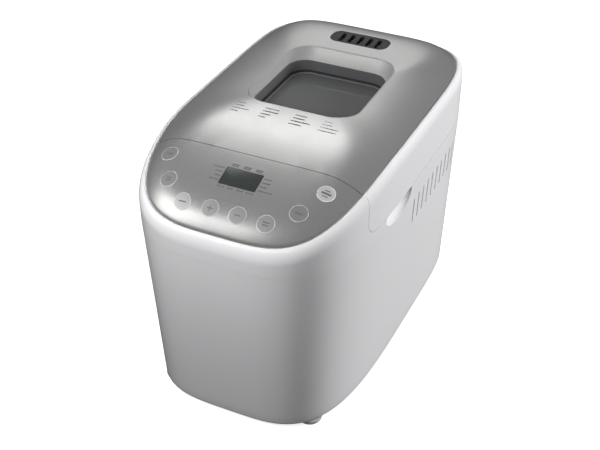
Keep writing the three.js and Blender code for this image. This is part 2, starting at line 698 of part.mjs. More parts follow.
function breadPan() {
  const { lowZ, highZ, sheet } = PAN;
  const walls = panForm(0, lowZ, highZ).subtract(panForm(-sheet, lowZ + sheet, FAR));
  const rim = panForm(2, highZ - 2.5, highZ).subtract(panForm(-sheet, 0, FAR));
  const ringOut = PAN_RING.radius;
  const ringIn = ringOut - PAN_RING.thick;
  const ringTop = lowZ + sheet / 2;
  const base = turned([[ringIn, PAN_RING.lowZ], [ringOut, PAN_RING.lowZ], [ringOut, ringTop],
    [ringIn, ringTop], [ringIn, PAN_RING.lowZ]], 0, DRIVE_Y, 24);
  let pan = walls.add(rim).add(base);
  for (const side of [-1, 1]) {
    const x0 = side * (PAN.halfWidth - 1);
    const x1 = side * (PAN.halfWidth + PAN_EAR.reach);
    const [y0, y1] = [DRIVE_Y - PAN_EAR.halfWidth, DRIVE_Y + PAN_EAR.halfWidth];
    const ear = block(Math.min(x0, x1), Math.max(x0, x1), y0, y1, PAN_EAR.lowZ, highZ - 1);
    pan = pan.add(ear);
  }
  return pan.subtract(rod(BUSH.radius + GAP, 0, DRIVE_Y, 0, lowZ + 10));
}

// A wire bail in two arms and a cross bar, hooked into the pan's ears.
function panHandle() {
  const { pivotZ, halfWidth, reach, barZ, wire } = BAIL;
  const barY = DRIVE_Y - reach;
  const path = new THREE.CurvePath();
  const points = [
    new THREE.Vector3(-halfWidth + 2, DRIVE_Y, pivotZ), new THREE.Vector3(-halfWidth - 3, DRIVE_Y, pivotZ),
    new THREE.Vector3(-halfWidth - 3, barY, barZ), new THREE.Vector3(halfWidth + 3, barY, barZ),
    new THREE.Vector3(halfWidth + 3, DRIVE_Y, pivotZ), new THREE.Vector3(halfWidth - 2, DRIVE_Y, pivotZ),
  ];
  const bends = [0, 2, 14, 14, 2];
  let from = points[0];
  for (let i = 1; i < points.length - 1; i += 1) {
    const before = points[i].clone().lerp(points[i - 1], bends[i] / points[i].distanceTo(points[i - 1]));
    const after = points[i].clone().lerp(points[i + 1], bends[i] / points[i].distanceTo(points[i + 1]));
    path.add(new THREE.LineCurve3(from, before));
    path.add(new THREE.QuadraticBezierCurve3(before, points[i], after));
    from = after;
  }
  path.add(new THREE.LineCurve3(from, points[points.length - 1]));
  const section = new THREE.Shape().absarc(0, 0, wire, 0, Math.PI * 2);
  const settings = { steps: 40, extrudePath: path, bevelEnabled: false, curveSegments: 4 };
  return solid(new THREE.ExtrudeGeometry(section, settings));
}

function panBush() {
  const { lowZ, radius, flangeRadius, flangeThick } = BUSH;
  const floor = PAN.lowZ + PAN.sheet + GAP;
  return turned([[SHAFT_BORE, lowZ], [radius, lowZ], [radius, floor], [flangeRadius, floor],
    [flangeRadius, floor + flangeThick], [SHAFT_BORE, floor + flangeThick], [SHAFT_BORE, lowZ]],
  0, DRIVE_Y, 16);
}

// Shaft of the pan with its two-winged coupling below and a flat for the paddle above.
function panShaft() {
  const { wingZ, wingTopZ } = COUPLING;
  const shaft = rod(SHAFT_RADIUS, 0, DRIVE_Y, wingTopZ - 0.5, PADDLE.shaftTopZ);
  const collar = rod(8, 0, DRIVE_Y, wingTopZ - 1, wingTopZ + 1);
  const wings = block(-13, 13, DRIVE_Y - 3, DRIVE_Y + 3, wingZ, wingTopZ);
  const flat = block(2.6, 6, DRIVE_Y - 6, DRIVE_Y + 6, PADDLE.lowZ + 1.5, FAR);
  return shaft.add(collar).add(wings).subtract(flat);
}

function kneadingPaddle() {
  const { lowZ, highZ, hubRadius, thick, shaftTopZ } = PADDLE;
  const hub = turned([[0, lowZ], [hubRadius, lowZ], [hubRadius - 3, highZ - 3], [hubRadius - 6, highZ],
    [0, highZ]], 0, DRIVE_Y, 16);
  const blade = new THREE.Shape();
  blade.moveTo(4, 91);
  blade.lineTo(40, 91);
  blade.quadraticCurveTo(44, 98, 38, 103);
  blade.quadraticCurveTo(26, 108, 20, 122);
  blade.quadraticCurveTo(12, 128, 4, 120);
  const settings = { depth: thick, bevelEnabled: false, curveSegments: 6 };
  const fin = new THREE.ExtrudeGeometry(blade, settings).rotateX(Math.PI / 2);
  const wing = solid(fin.translate(0, DRIVE_Y + thick / 2, 0));
  const bore = rod(SHAFT_BORE, 0, DRIVE_Y, 0, shaftTopZ + GAP);
  return hub.add(wing).subtract(bore);
}

// ---------------------------------------------------------------- drive

// A ring on the chamber's floor that the pan's own ring stands in.
function panSocket() {
  const inner = PAN_RING.radius + 1;
  const low = CHAMBER.lowZ + CHAMBER.sheet + GAP;
  const outer = inner + PAN_RING.thick;
  return turned([[inner, low], [outer + 6, low], [outer + 6, low + 1.7], [outer, low + 1.7],
    [outer, low + 14.7], [inner, low + 14.7], [inner, low]], 0, DRIVE_Y, 24);
}

function driveCoupler() {
  const { lowZ, radius, dogTopZ, dogPlace } = COUPLING;
  const top = lowZ + 3;
  const cup = turned([[0, lowZ], [radius, lowZ], [radius, top], [0, top]], 0, DRIVE_Y, 16);
  const dog = (side) => {
    const y = DRIVE_Y + side * dogPlace;
    return block(-3, 3, y - 4, y + 4, top - 0.5, dogTopZ);
  };
  return cup.add(dog(-1)).add(dog(1)).subtract(rod(SHAFT_BORE, 0, DRIVE_Y, 0, dogTopZ - 3));
}

function driveShaft() {
  return rod(SHAFT_RADIUS, 0, DRIVE_Y, 14, COUPLING.lowZ + 2.5);
}

function bearingHousing() {
  const { lowZ, flangeZ, highZ, radius, flangeRadius } = BEARING;
  return turned([[SHAFT_BORE, lowZ], [radius, lowZ], [radius, flangeZ], [flangeRadius, flangeZ],
    [flangeRadius, flangeZ + 3.3], [radius, flangeZ + 3.3], [radius, highZ], [SHAFT_BORE, highZ],
    [SHAFT_BORE, lowZ]], 0, DRIVE_Y, 16);
}

function driveBridge() {
  const { halfWidth, halfDepth, lowZ, highZ, legX, legY } = BRIDGE;
  let bridge = block(-halfWidth, halfWidth, DRIVE_Y - halfDepth, DRIVE_Y + halfDepth, lowZ, highZ);
  for (const x of [-legX, legX]) {
    for (const y of [DRIVE_Y - legY, DRIVE_Y + legY]) {
      bridge = bridge.add(block(x - 3, x + 3, y - 6, y + 6, FLOOR_Z + 3 + GAP, lowZ + 1));
    }
  }
  return bridge.subtract(rod(BEARING.radius + GAP, 0, DRIVE_Y, 0, FAR));
}

// A flanged pulley: a plain drum if webThick is 0, and otherwise a rim and a hub joined by a web.
function pulley(radius, y, webThick) {
  const { rise, thick, beside } = PULLEY_FLANGE;
  const low = BELT_LOW_Z - beside;
  const high = BELT_LOW_Z + BELT_WIDTH + beside;
  const middle = BELT_LOW_Z + BELT_WIDTH / 2;
  const groove = [[radius + rise, low], [radius + rise, low + thick], [radius, low + thick],
    [radius, high - thick], [radius + rise, high - thick], [radius + rise, high]];
  const start = [SHAFT_BORE, low];
  if (webThick === 0) {
    return turned([start, ...groove, [SHAFT_BORE, high], start], 0, y);
  }
  const rim = radius - 5;
  const [webLow, webHigh] = [middle - webThick / 2, middle + webThick / 2];
  return turned([start, [PULLEY_HUB, low], [PULLEY_HUB, webLow], [rim, webLow], [rim, low], ...groove,
    [rim, high], [rim, webHigh], [PULLEY_HUB, webHigh], [PULLEY_HUB, high], [SHAFT_BORE, high], start],
  0, y, 24);
}

function largePulley() {
  let wheel = pulley(LARGE_PULLEY_RADIUS, DRIVE_Y, 3);
  for (let i = 0; i < 5; i += 1) {
    const angle = (i / 5) * Math.PI * 2;
    const [x, y] = [30 * Math.cos(angle), DRIVE_Y + 30 * Math.sin(angle)];
    wheel = wheel.subtract(rod(10, x, y, 0, 60, 8));
  }
  return wheel;
}

// The open belt round both pulleys, as the loop between two stadium outlines.
function beltOutline(grow) {
  const big = LARGE_PULLEY_RADIUS + grow;
  const small = SMALL_PULLEY_RADIUS + grow;
  const lean = Math.asin((big - small) / (DRIVE_Y - MOTOR.y));
  const shape = new THREE.Shape();
  shape.absarc(0, DRIVE_Y, big, -lean, Math.PI + lean);
  shape.absarc(0, MOTOR.y, small, Math.PI + lean, Math.PI * 2 - lean);
  return shape;
}

function driveBelt() {
  const low = BELT_LOW_Z;
  const outside = upright(beltOutline(GAP + BELT_THICK), low, low + BELT_WIDTH, 16);
  return outside.subtract(upright(beltOutline(GAP), 0, 60, 16));
}

function motorBody() {
  const { y, radius, lowZ, highZ, boss } = MOTOR;
  return turned([[SHAFT_BORE, lowZ], [boss, lowZ], [boss, lowZ + 4], [radius, lowZ + 4],
    [radius, highZ - 4], [boss, highZ - 4], [boss, highZ], [SHAFT_BORE, highZ], [SHAFT_BORE, lowZ]],
  0, y, 24);
}

function motorShaft() {
  return rod(SHAFT_RADIUS, 0, MOTOR.y, 18, MOTOR.highZ + 16);
}

function motorFan() {
  const { radius, hub, blades, bladeLength, bladeThick, bladeHigh } = FAN;
  const low = MOTOR.highZ + 2;
  let fan = rod(hub, 0, MOTOR.y, low, low + bladeHigh + 1);
  fan = fan.add(rod(radius, 0, MOTOR.y, low, low + bladeThick));
  for (let i = 0; i < blades; i += 1) {
    const blade = new THREE.BoxGeometry(bladeLength, bladeThick, bladeHigh);
    blade.translate(hub - 2 + bladeLength / 2, 0, 0).rotateZ((i / blades) * Math.PI * 2);
    fan = fan.add(solid(blade.translate(0, MOTOR.y, low + bladeHigh / 2 + 1)));
  }
  return fan.subtract(rod(SHAFT_BORE, 0, MOTOR.y, 0, FAR));
}

function motorBracket() {
  const { y, lowZ, radius, boss } = MOTOR;
  const { margin, legX, legHalf, halfDepth, thick } = BRACKET;
  const top = lowZ - GAP;
  const wide = radius + margin;
  let bracket = block(-wide, wide, y - halfDepth, y + halfDepth, top - thick, top);
  for (const x of [-radius - legX, radius + legX]) {
    const leg = block(x - legHalf, x + legHalf, y - halfDepth, y + halfDepth, FLOOR_Z + 3 + GAP, top - 1);
    bracket = bracket.add(leg);
  }
  return bracket.subtract(rod(boss + 2, 0, y, 0, FAR));
}

// An upright board with a transformer and a relay on its outer side.
function powerBoard() {
  const { x, y, thick, halfLength, lowZ, highZ } = POWER_BOARD;
  const board = block(x, x + thick, y - halfLength, y + halfLength, lowZ, highZ);
  const transformer = block(x - 14, x + 1, y - 40, y - 10, lowZ + 70, lowZ + 100);
  const relay = block(x - 11, x + 1, y + 5, y + 25, lowZ + 20, lowZ + 50);
  return board.add(transformer).add(relay);
}

function inletSocket() {
  const { x, z, halfWidth, halfHeight, front, back, wall } = REAR_INLET;
  const [w, h] = [halfWidth - GAP, halfHeight - GAP];
  const mouth = block(x - w + wall, x + w - wall, front + 6, FAR, z - h + wall, z + h - wall);
  let socket = block(x - w, x + w, front, back, z - h, z + h).subtract(mouth);
  for (const [dx, dz] of INLET_PINS) {
    socket = socket.add(block(x + dx - 1, x + dx + 1, front + 5, back - 6, z + dz - 2, z + dz + 2));
  }
  return socket;
}

// ---------------------------------------------------------------- materials and assembly

function material(color, roughness, metalness, extra = {}) {
  return new THREE.MeshStandardMaterial({ color, roughness, metalness, ...extra });
}

const WHITE = material("#e4e4e8", 0.35, 0);
const SILVER = material("#b9bab8", 0.32, 0.85);
const BEZEL = material("#a9acb0", 0.3, 0.8);
const DARK = material("#3a3c3d", 0.5, 0);
const GLASS = material("#3d4240", 0.08, 0, { transparent: true, opacity: 0.45 });
const LCD = material("#3f4644", 0.15, 0);
const STEEL = material("#a7a9aa", 0.35, 0.95);
const COATING = material("#2c2c2e", 0.45, 0.3);
const RUBBER = material("#55585a", 0.85, 0);
const BOARD = material("#2f5d3a", 0.6, 0);
const KEY = material("#c4c5c4", 0.35, 0.6);
const START = material("#f3f4f5", 0.3, 0);
const BRASS = material("#b08d4f", 0.35, 0.9);
const NYLON = material("#d8d6cf", 0.5, 0);

const machine = new THREE.Group();
const topSkin = domeSlab(0, PLATE_THICK);
const housing = housingSkin();

function put(name, manifold, look) {
  machine.add(meshOf(name, manifold, look));
}

put("base_plate", basePlate(), DARK);
for (const [name, place] of Object.entries(FOOT_PLACES)) put(name, foot(place), RUBBER);
put("lower_housing", lowerHousing(housing), WHITE);
put("upper_housing", upperHousing(housing), WHITE);
put("control_panel_plate", controlPanelPlate(topSkin), SILVER);
put("display_window", displayWindow(), LCD);
put("display_module", displayModule(), BOARD);
put("keypad_board", keypadBoard(), BOARD);
for (const [name, centre] of Object.entries(BUTTONS)) {
  put(name, button(centre), name === "start_stop_button" ? START : KEY);
}
put("lid_shell", lidShell(), WHITE);
put("lid_top_plate", lidTopPlate(topSkin), SILVER);
put("window_frame", windowFrame(), BEZEL);
put("window_glass", windowGlass(), GLASS);
put("lid_liner", lidLiner(), STEEL);
put("inner_window_glass", innerGlass(), GLASS);
put("vent_grille", ventGrille(), DARK);
put("lid_seal", lidSeal(), RUBBER);
put("hinge_bracket_left", hingeBracket(-1), STEEL);
put("hinge_bracket_right", hingeBracket(1), STEEL);
put("hinge_pin_left", hingePin(-1), STEEL);
put("hinge_pin_right", hingePin(1), STEEL);
put("chamber_deck", chamberDeck(), WHITE);
put("baking_chamber", bakingChamber(), STEEL);
put("heating_element", heatingElement(), STEEL);
put("temperature_probe", temperatureProbe(), STEEL);
put("pan_socket", panSocket(), STEEL);
put("bread_pan", breadPan(), COATING);
put("pan_handle", panHandle(), STEEL);
put("pan_bush", panBush(), BRASS);
put("pan_shaft", panShaft(), STEEL);
put("kneading_paddle", kneadingPaddle(), COATING);
put("drive_coupler", driveCoupler(), NYLON);
put("drive_shaft", driveShaft(), STEEL);
put("bearing_housing", bearingHousing(), BRASS);
put("drive_bridge", driveBridge(), STEEL);
put("large_pulley", largePulley(), NYLON);
put("drive_belt", driveBelt(), RUBBER);
put("motor_body", motorBody(), STEEL);
put("motor_shaft", motorShaft(), STEEL);
put("small_pulley", pulley(SMALL_PULLEY_RADIUS, MOTOR.y, 0), STEEL);
put("motor_fan", motorFan(), NYLON);
put("motor_bracket", motorBracket(), STEEL);
put("power_board", powerBoard(), BOARD);
put("inlet_socket", inletSocket(), DARK);

export default machine;
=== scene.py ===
# %% [markdown]
# # A bread machine in studio light
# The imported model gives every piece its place, so this lesson starts by loading it. Shapes that show
# are then made again with a fine surface, finishes are mixed, and a camera and lamps are set up.

# %% Load the frame
import json
import math

import bmesh
import bpy
import numpy as np
from mathutils import Matrix, Vector


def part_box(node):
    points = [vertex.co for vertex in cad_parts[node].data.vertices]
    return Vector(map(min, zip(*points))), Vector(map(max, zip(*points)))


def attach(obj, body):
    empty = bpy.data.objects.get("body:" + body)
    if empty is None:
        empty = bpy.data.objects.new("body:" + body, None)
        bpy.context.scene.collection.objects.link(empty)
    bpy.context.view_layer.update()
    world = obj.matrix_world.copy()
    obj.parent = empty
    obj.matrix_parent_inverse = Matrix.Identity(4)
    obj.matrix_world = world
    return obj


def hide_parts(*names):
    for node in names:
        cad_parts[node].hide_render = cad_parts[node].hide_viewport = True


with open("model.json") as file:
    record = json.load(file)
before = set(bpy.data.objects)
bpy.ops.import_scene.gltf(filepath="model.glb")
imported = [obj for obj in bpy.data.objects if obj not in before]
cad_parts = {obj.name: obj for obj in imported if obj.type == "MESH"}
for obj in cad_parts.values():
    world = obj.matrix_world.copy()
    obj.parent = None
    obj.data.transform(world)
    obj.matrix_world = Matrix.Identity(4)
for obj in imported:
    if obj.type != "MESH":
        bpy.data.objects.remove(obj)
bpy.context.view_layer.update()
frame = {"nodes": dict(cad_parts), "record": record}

nodes = frame["nodes"]
print("frame loaded:", len(nodes), "nodes")

# %% [markdown]
# The camera comes first. It stands to the right of the front and looks down on the lid. A long lens
# keeps the upright edges nearly parallel, as in a catalogue picture.

# %% Camera
CAMERA_AZIMUTH = math.radians(25.591)
CAMERA_ELEVATION = math.radians(35.275)
CAMERA_ROLL = math.radians(-0.253)
CAMERA_TARGET = Vector((-0.00198, -0.0094, 0.13489))
CAMERA_DISTANCE = 1.30225
LENS_MM = 66.53
SENSOR_MM = 36


def make_camera():
    ca, sa = math.cos(CAMERA_AZIMUTH), math.sin(CAMERA_AZIMUTH)
    ce, se = math.cos(CAMERA_ELEVATION), math.sin(CAMERA_ELEVATION)
    back = Vector((sa * ce, -ca * ce, se))
    right = Vector((ca, sa, 0))
    up = back.cross(right)
    turned_right = right * math.cos(CAMERA_ROLL) + up * math.sin(CAMERA_ROLL)
    turned_up = up * math.cos(CAMERA_ROLL) - right * math.sin(CAMERA_ROLL)
    data = bpy.data.cameras.new("camera")
    data.lens = LENS_MM
    data.sensor_width = SENSOR_MM
    camera = bpy.data.objects.new("camera", data)
    bpy.context.scene.collection.objects.link(camera)
    turn = Matrix((turned_right, turned_up, back)).transposed().to_4x4()
    camera.matrix_world = Matrix.Translation(CAMERA_TARGET + back * CAMERA_DISTANCE) @ turn
    bpy.context.scene.camera = camera
    print("camera at", [round(v, 3) for v in camera.location])


make_camera()

# %% [markdown]
# Every finish is a small network of nodes. Writing its sums as Python expressions keeps them
# readable, so one class wraps an output and turns +, -, * and / into Math nodes.

# %% Sums of sockets
class Wire:
    """One output of a network; arithmetic on it adds Math nodes."""

    def __init__(self, network, socket):
        self.network = network
        self.socket = socket

    def _sum(self, operation, first, second):
        return self.network.add("ShaderNodeMath", {"operation": operation}, {0: first, 1: second})

    def __add__(self, other):
        return self._sum("ADD", self, other)

    def __radd__(self, other):
        return self._sum("ADD", other, self)

    def __sub__(self, other):
        return self._sum("SUBTRACT", self, other)

    def __rsub__(self, other):
        return self._sum("SUBTRACT", other, self)

    def __mul__(self, other):
        return self._sum("MULTIPLY", self, other)

    def __rmul__(self, other):
        return self._sum("MULTIPLY", other, self)

    def __truediv__(self, other):
        return self._sum("DIVIDE", self, other)

    def above(self, edge):
        return self._sum("GREATER_THAN", self, edge)


# %% [markdown]
# A second class makes any other node from its type, its settings and what goes into its sockets,
# and a third adds the patterns that the materials share.

# %% Networks and finishes
class Network:
    """A tree of shader nodes under construction."""

    def __init__(self, tree):
        self.tree = tree

    def add(self, kind, settings, links, output=0):
        node = self.tree.nodes.new(kind)
        for key, value in settings.items():
            setattr(node, key, value)
        for key, value in links.items():
            if isinstance(value, Wire):
                self.tree.links.new(value.socket, node.inputs[key])
            else:
                node.inputs[key].default_value = value
        return Wire(self, node.outputs[output])

    def blend(self, amount, first, second):
        settings = {"data_type": "RGBA"}
        return self.add("ShaderNodeMix", settings, {0: amount, 6: first, 7: second}, 2)


class Finish(Network):
    """A material, whose patterns are placed in the object's own space."""

    def __init__(self, name):
        self.material = bpy.data.materials.new(name)
        self.material.use_nodes = True
        super().__init__(self.material.node_tree)
        self.tree.nodes.clear()
        self.out = self.tree.nodes.new("ShaderNodeOutputMaterial")
        self.place = self.add("ShaderNodeTexCoord", {}, {}, "Object")

    def noise(self, scale, detail=3.0, rough=0.5, where=None):
        links = {"Vector": where or self.place, "Scale": scale, "Detail": detail, "Roughness": rough}
        return self.add("ShaderNodeTexNoise", {}, links)

    def stretched(self, scale):
        return self.add("ShaderNodeMapping", {}, {"Vector": self.place, "Scale": scale})

    def between(self, amount, low, high):
        return self.add(
            "ShaderNodeMapRange", {}, {"Value": amount, "To Min": low, "To Max": high}
        )

    def bump(self, height, strength, distance):
        return self.add(
            "ShaderNodeBump", {}, {"Height": height, "Strength": strength, "Distance": distance}
        )

    def shader(self, **sockets):
        links = {key.replace("_", " "): value for key, value in sockets.items()}
        return self.add("ShaderNodeBsdfPrincipled", {}, links)

    def finished(self, shader):
        self.tree.links.new(shader.socket, self.out.inputs["Surface"])
        return self.material

    def surface(self, **sockets):
        return self.finished(self.shader(**sockets))


def grey(value, tint=(1.0, 1.0, 1.0)):
    return (value * tint[0], value * tint[1], value * tint[2], 1.0)


# %% [markdown]
# The housing is injection-moulded plastic with a satin gloss: nearly smooth, with the faint
# unevenness of a polished tool, a touch of dust in the roughness and hardly any change of colour.

# %% White plastic
def white_plastic(name, tone=0.80):
    f = Finish(name)
    cloud = f.noise(9, 4, 0.55)
    grain = f.noise(2600, 2, 0.6)
    swirl = f.noise(42, 3, 0.5)
    colour = f.blend(cloud, grey(tone, (1.0, 1.0, 1.012)), grey(tone * 1.03, (1.0, 1.0, 1.018)))
    rough = f.between(swirl, 0.27, 0.35) + (grain - 0.5) * 0.05
    bump = f.bump(grain + swirl * 0.6, 0.05, 0.0004)
    return f.surface(
        Base_Color=colour, Roughness=rough, Normal=bump, Coat_Weight=0.25, Coat_Roughness=0.12,
        Specular_IOR_Level=0.5,
    )


# %% [markdown]
# The top is lacquered in silver. The lacquer holds fine metal flakes, so close up it sparkles in
# tiny cells and from afar it is a soft satin, brighter where it faces the lamps.

# %% Silver lacquer
def silver_lacquer(name, tone=0.62, rough=0.36, metal=0.9):
    f = Finish(name)
    flakes = f.noise(1100, 2, 0.6)
    cells = f.add("ShaderNodeTexVoronoi", {}, {"Vector": f.place, "Scale": 1500.0}, "Color")
    flake_tone = f.add("ShaderNodeSeparateColor", {}, {"Color": cells})
    cloud = f.noise(7, 3, 0.5)
    shade = f.between(flake_tone, 0.0, 1.0) * 0.7 + cloud * 0.3
    warm = (1.0, 0.998, 0.985)
    colour = f.blend(shade, grey(tone * 0.93, warm), grey(tone * 1.06, warm))
    roughness = f.between(f.noise(60, 3, 0.5), rough - 0.03, rough + 0.03)
    bump = f.bump(flakes, 0.03, 0.0001)
    return f.surface(
        Base_Color=colour, Metallic=metal, Roughness=roughness, Normal=bump, Coat_Weight=0.15,
        Coat_Roughness=0.2,
    )


# %% [markdown]
# Dark plastic parts, such as the vent grille, have a spark-eroded grain that scatters light.

# %% Dark plastic
def moulded_plastic(name, colour, rough=0.5):
    f = Finish(name)
    grain = f.noise(1400, 3, 0.6)
    cloud = f.noise(30, 3, 0.5)
    low = tuple(v * 0.9 for v in colour) + (1.0,)
    high = tuple(min(1.0, v * 1.1 + 0.004) for v in colour) + (1.0,)
    return f.surface(
        Base_Color=f.blend(cloud, low, high), Roughness=f.between(cloud, rough - 0.05, rough + 0.07),
        Normal=f.bump(grain, 0.2, 0.0003),
    )


# %% [markdown]
# Sheet steel shows long fine scratches along the way it was rolled; a galvanised sheet adds a
# patchwork of dull crystals. Both are a noise stretched far along one axis.

# %% Metals
def rolled_steel(name, tone=0.55, rough=0.32, tint=(1.0, 1.0, 1.0), along=(12.0, 900.0, 900.0)):
    f = Finish(name)
    lines = f.noise(1.0, 4, 0.65, f.stretched(along))
    patch = f.noise(24, 3, 0.55)
    colour = f.blend(patch, grey(tone * 0.9, tint), grey(tone * 1.08, tint))
    roughness = f.between(lines, rough - 0.08, rough + 0.1)
    return f.surface(
        Base_Color=colour, Metallic=1.0, Roughness=roughness, Normal=f.bump(lines, 0.12, 0.0002)
    )


def spangled_steel(name, tone=0.72, rough=0.44):
    f = Finish(name)
    crystals = f.add("ShaderNodeTexVoronoi", {}, {"Vector": f.place, "Scale": 160.0}, "Color")
    tones = f.add("ShaderNodeSeparateColor", {}, {"Color": crystals})
    smears = f.noise(18, 4, 0.6)
    amount = tones * 0.6 + smears * 0.4
    colour = f.blend(amount, grey(tone * 0.82), grey(tone * 1.12, (0.99, 1.0, 1.01)))
    return f.surface(
        Base_Color=colour, Metallic=0.6, Roughness=f.between(amount, rough - 0.06, rough + 0.1),
        Normal=f.bump(smears, 0.06, 0.0005),
    )


# %% [markdown]
# The pan's coating is sprayed and baked: dark grey with pale specks and a slightly pebbled skin.
# Rubber is one dull tone with dust on it and fine pores.

# %% Coating and rubber
def speckled_coating(name):
    f = Finish(name)
    specks = f.noise(900, 2, 0.7)
    pebbles = f.noise(420, 3, 0.5)
    fleck = f.between(specks, -3.2, 2.0).above(0.42)
    colour = f.blend(fleck, grey(0.045, (1.0, 1.0, 1.04)), grey(0.15))
    return f.surface(
        Base_Color=colour, Metallic=0.25, Roughness=f.between(pebbles, 0.38, 0.52),
        Normal=f.bump(pebbles, 0.15, 0.0003),
    )


def rubber_like(name, tone, tint=(1.0, 1.0, 1.0), rough=0.8):
    f = Finish(name)
    dust = f.noise(60, 4, 0.6)
    pores = f.noise(1600, 2, 0.6)
    colour = f.blend(dust, grey(tone * 0.88, tint), grey(tone * 1.15, tint))
    return f.surface(
        Base_Color=colour, Roughness=f.between(dust, rough - 0.08, rough + 0.08),
        Normal=f.bump(pores, 0.2, 0.0003),
    )


# %% [markdown]
# A board is green with copper tracks under its lacquer, drawn by a distorted wave. The element is a
# steel rod that heat has browned unevenly.

# %% Board and element
def circuit_board(name):
    f = Finish(name)
    tracks = f.add(
        "ShaderNodeTexWave", {"wave_type": "BANDS", "bands_direction": "DIAGONAL"},
        {"Vector": f.place, "Scale": 120.0, "Distortion": 6.0, "Detail": 2.0},
    )
    copper = tracks.above(0.62)
    colour = f.blend(copper, (0.012, 0.09, 0.035, 1), (0.03, 0.17, 0.06, 1))
    return f.surface(
        Base_Color=colour, Roughness=f.between(tracks, 0.3, 0.45), Normal=f.bump(copper, 0.3, 0.0001)
    )


def heat_tinted_steel(name):
    f = Finish(name)
    bands = f.noise(34, 4, 0.6)
    colour = f.blend(bands, (0.16, 0.13, 0.12, 1), (0.36, 0.32, 0.29, 1))
    return f.surface(
        Base_Color=colour, Metallic=0.85, Roughness=f.between(bands, 0.42, 0.6),
        Normal=f.bump(f.noise(800, 3, 0.6), 0.15, 0.0002),
    )


# %% [markdown]
# The panes are toned glass, half of which is plainly see-through. The keys are printed film, and an
# attribute named ring, set on each key's points, says where the paler ring is.

# %% Glass and film
def smoked_glass(name, clear=0.5):
    f = Finish(name)
    haze = f.noise(14, 4, 0.6)
    smear = f.noise(3.2, 2, 0.5)
    see_through = f.add("ShaderNodeBsdfTransparent", {}, {"Color": (0.52, 0.54, 0.53, 1)})
    skin = f.shader(
        Base_Color=f.blend(smear, (0.25, 0.255, 0.25, 1), (0.32, 0.325, 0.32, 1)),
        Roughness=f.between(haze, 0.05, 0.11), Specular_IOR_Level=0.6,
    )
    return f.finished(f.add("ShaderNodeMixShader", {}, {0: clear, 1: skin, 2: see_through}))


def key_film(name, face, ring_tone, metallic):
    """Film with a printed ring of its own tone, less metallic than the face."""
    f = Finish(name)
    on_ring = f.add("ShaderNodeAttribute", {"attribute_name": "ring"}, {}, "Fac")
    grain = f.noise(1500, 2, 0.6)
    face_tone = f.blend(grain, grey(face * 0.96), grey(face * 1.03))
    return f.surface(
        Base_Color=f.blend(on_ring, face_tone, grey(ring_tone)),
        Metallic=f.between(on_ring, metallic, metallic * 0.35), Normal=f.bump(grain, 0.05, 0.0002),
        Roughness=f.between(grain, 0.33, 0.39),
    )


# %% [markdown]
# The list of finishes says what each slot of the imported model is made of. The solids get theirs now,
# and every finer piece gets its own when it is adopted.

# %% The finishes
FINISHES = {
    "white_plastic": white_plastic("white_plastic"),
    "silver_top": silver_lacquer("silver_top", 0.62, 0.36),
    "silver_bezel": silver_lacquer("silver_bezel", 0.56, 0.46, 0.55),
    "dark_plastic": moulded_plastic("dark_plastic", (0.024, 0.025, 0.028)),
    "window_glass": smoked_glass("window_glass"),
    "display": moulded_plastic("display", (0.030, 0.036, 0.034), 0.22),
    "ink": moulded_plastic("ink", (0.13, 0.132, 0.135), 0.5),
    "key_film": key_film("key_film", 0.62, 0.74, 0.9),
    "start_key": key_film("start_key", 0.62, 0.95, 0.35),
    "steel": rolled_steel("steel"),
    "galvanised": spangled_steel("galvanised"),
    "pan_coating": speckled_coating("pan_coating"),
    "element": heat_tinted_steel("element"),
    "rubber": rubber_like("rubber", 0.03),
    "gasket_edge": rubber_like("gasket_edge", 0.17, (1.0, 1.01, 1.02), 0.6),
    # grey_rubber is the tone of the window's sleeve, which is painted shade on the frame's inner silver
    # wall.
    "grey_rubber": rubber_like("grey_rubber", 0.11, (1.0, 1.02, 1.06), 0.5),
    "foot_rubber": rubber_like("foot_rubber", 0.62, (1.0, 1.0, 1.02)),
    "silicone": rubber_like("silicone", 0.30, (1.0, 0.99, 0.98), 0.6),
    "circuit_board": circuit_board("circuit_board"),
    "brass": rolled_steel("brass", 0.62, 0.36, (1.0, 0.76, 0.40)),
    "nylon": moulded_plastic("nylon", (0.66, 0.65, 0.60), 0.45),
    "motor_paint": moulded_plastic("motor_paint", (0.05, 0.052, 0.056), 0.35),
}

slot_of_node = {part["node"]: part["material_slot"] for part in frame["record"]["subparts"]}
for node_name, node in nodes.items():
    node.data.materials.clear()
    node.data.materials.append(FINISHES[slot_of_node[node_name]])
print("finishes:", len(FINISHES))

# %% [markdown]
# The housing, the lid and the silver top share one form: a superellipse in plan, squarer at the
# back, and a crowned top that falls towards the front. Its sizes are read from the frame, and the
# same rule that shaped the solids gives any number of points on it.

# %% The shared form
plate_low, plate_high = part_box("lid_top_plate")
panel_low, panel_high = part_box("control_panel_plate")
shell_low, shell_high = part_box("lid_shell")

TOP_CENTRE = 0.0343  # the widest place, from which front and back are measured
FLOOR_CENTRE = 0.0389
FLOOR_HALF_WIDTH = 0.122
FLOOR_FRONT, FLOOR_BACK = -0.2036, 0.2128
FRONT_POWER, TOP_BACK_POWER, FLOOR_BACK_POWER = 3.8, 5.4, 5.3
TOP = (plate_high.x, panel_low.y, plate_high.y, TOP_CENTRE, FRONT_POWER, TOP_BACK_POWER)
FLOOR = (FLOOR_HALF_WIDTH, FLOOR_FRONT, FLOOR_BACK, FLOOR_CENTRE, FRONT_POWER, FLOOR_BACK_POWER)
EDGE_LEVEL, EDGE_FALL, EDGE_RISE = 0.2852, 0.038, 0.004
FALL_START, FALL_LENGTH, FALL_POWER = -0.0394, 0.166, 1.9
RISE_START = 0.1
CROWN = 0.0146
CROWN_FADES = (3, 18, 22)  # how late the crown dies away: at the sides, the back and the front
RIM_OUTSET = shell_high.x - plate_high.x
PLATE_THICK = 0.0012
WALL = 0.0024
GAP = 0.0003
FLOOR_Z = 0.005
CREASE_Z = 0.215
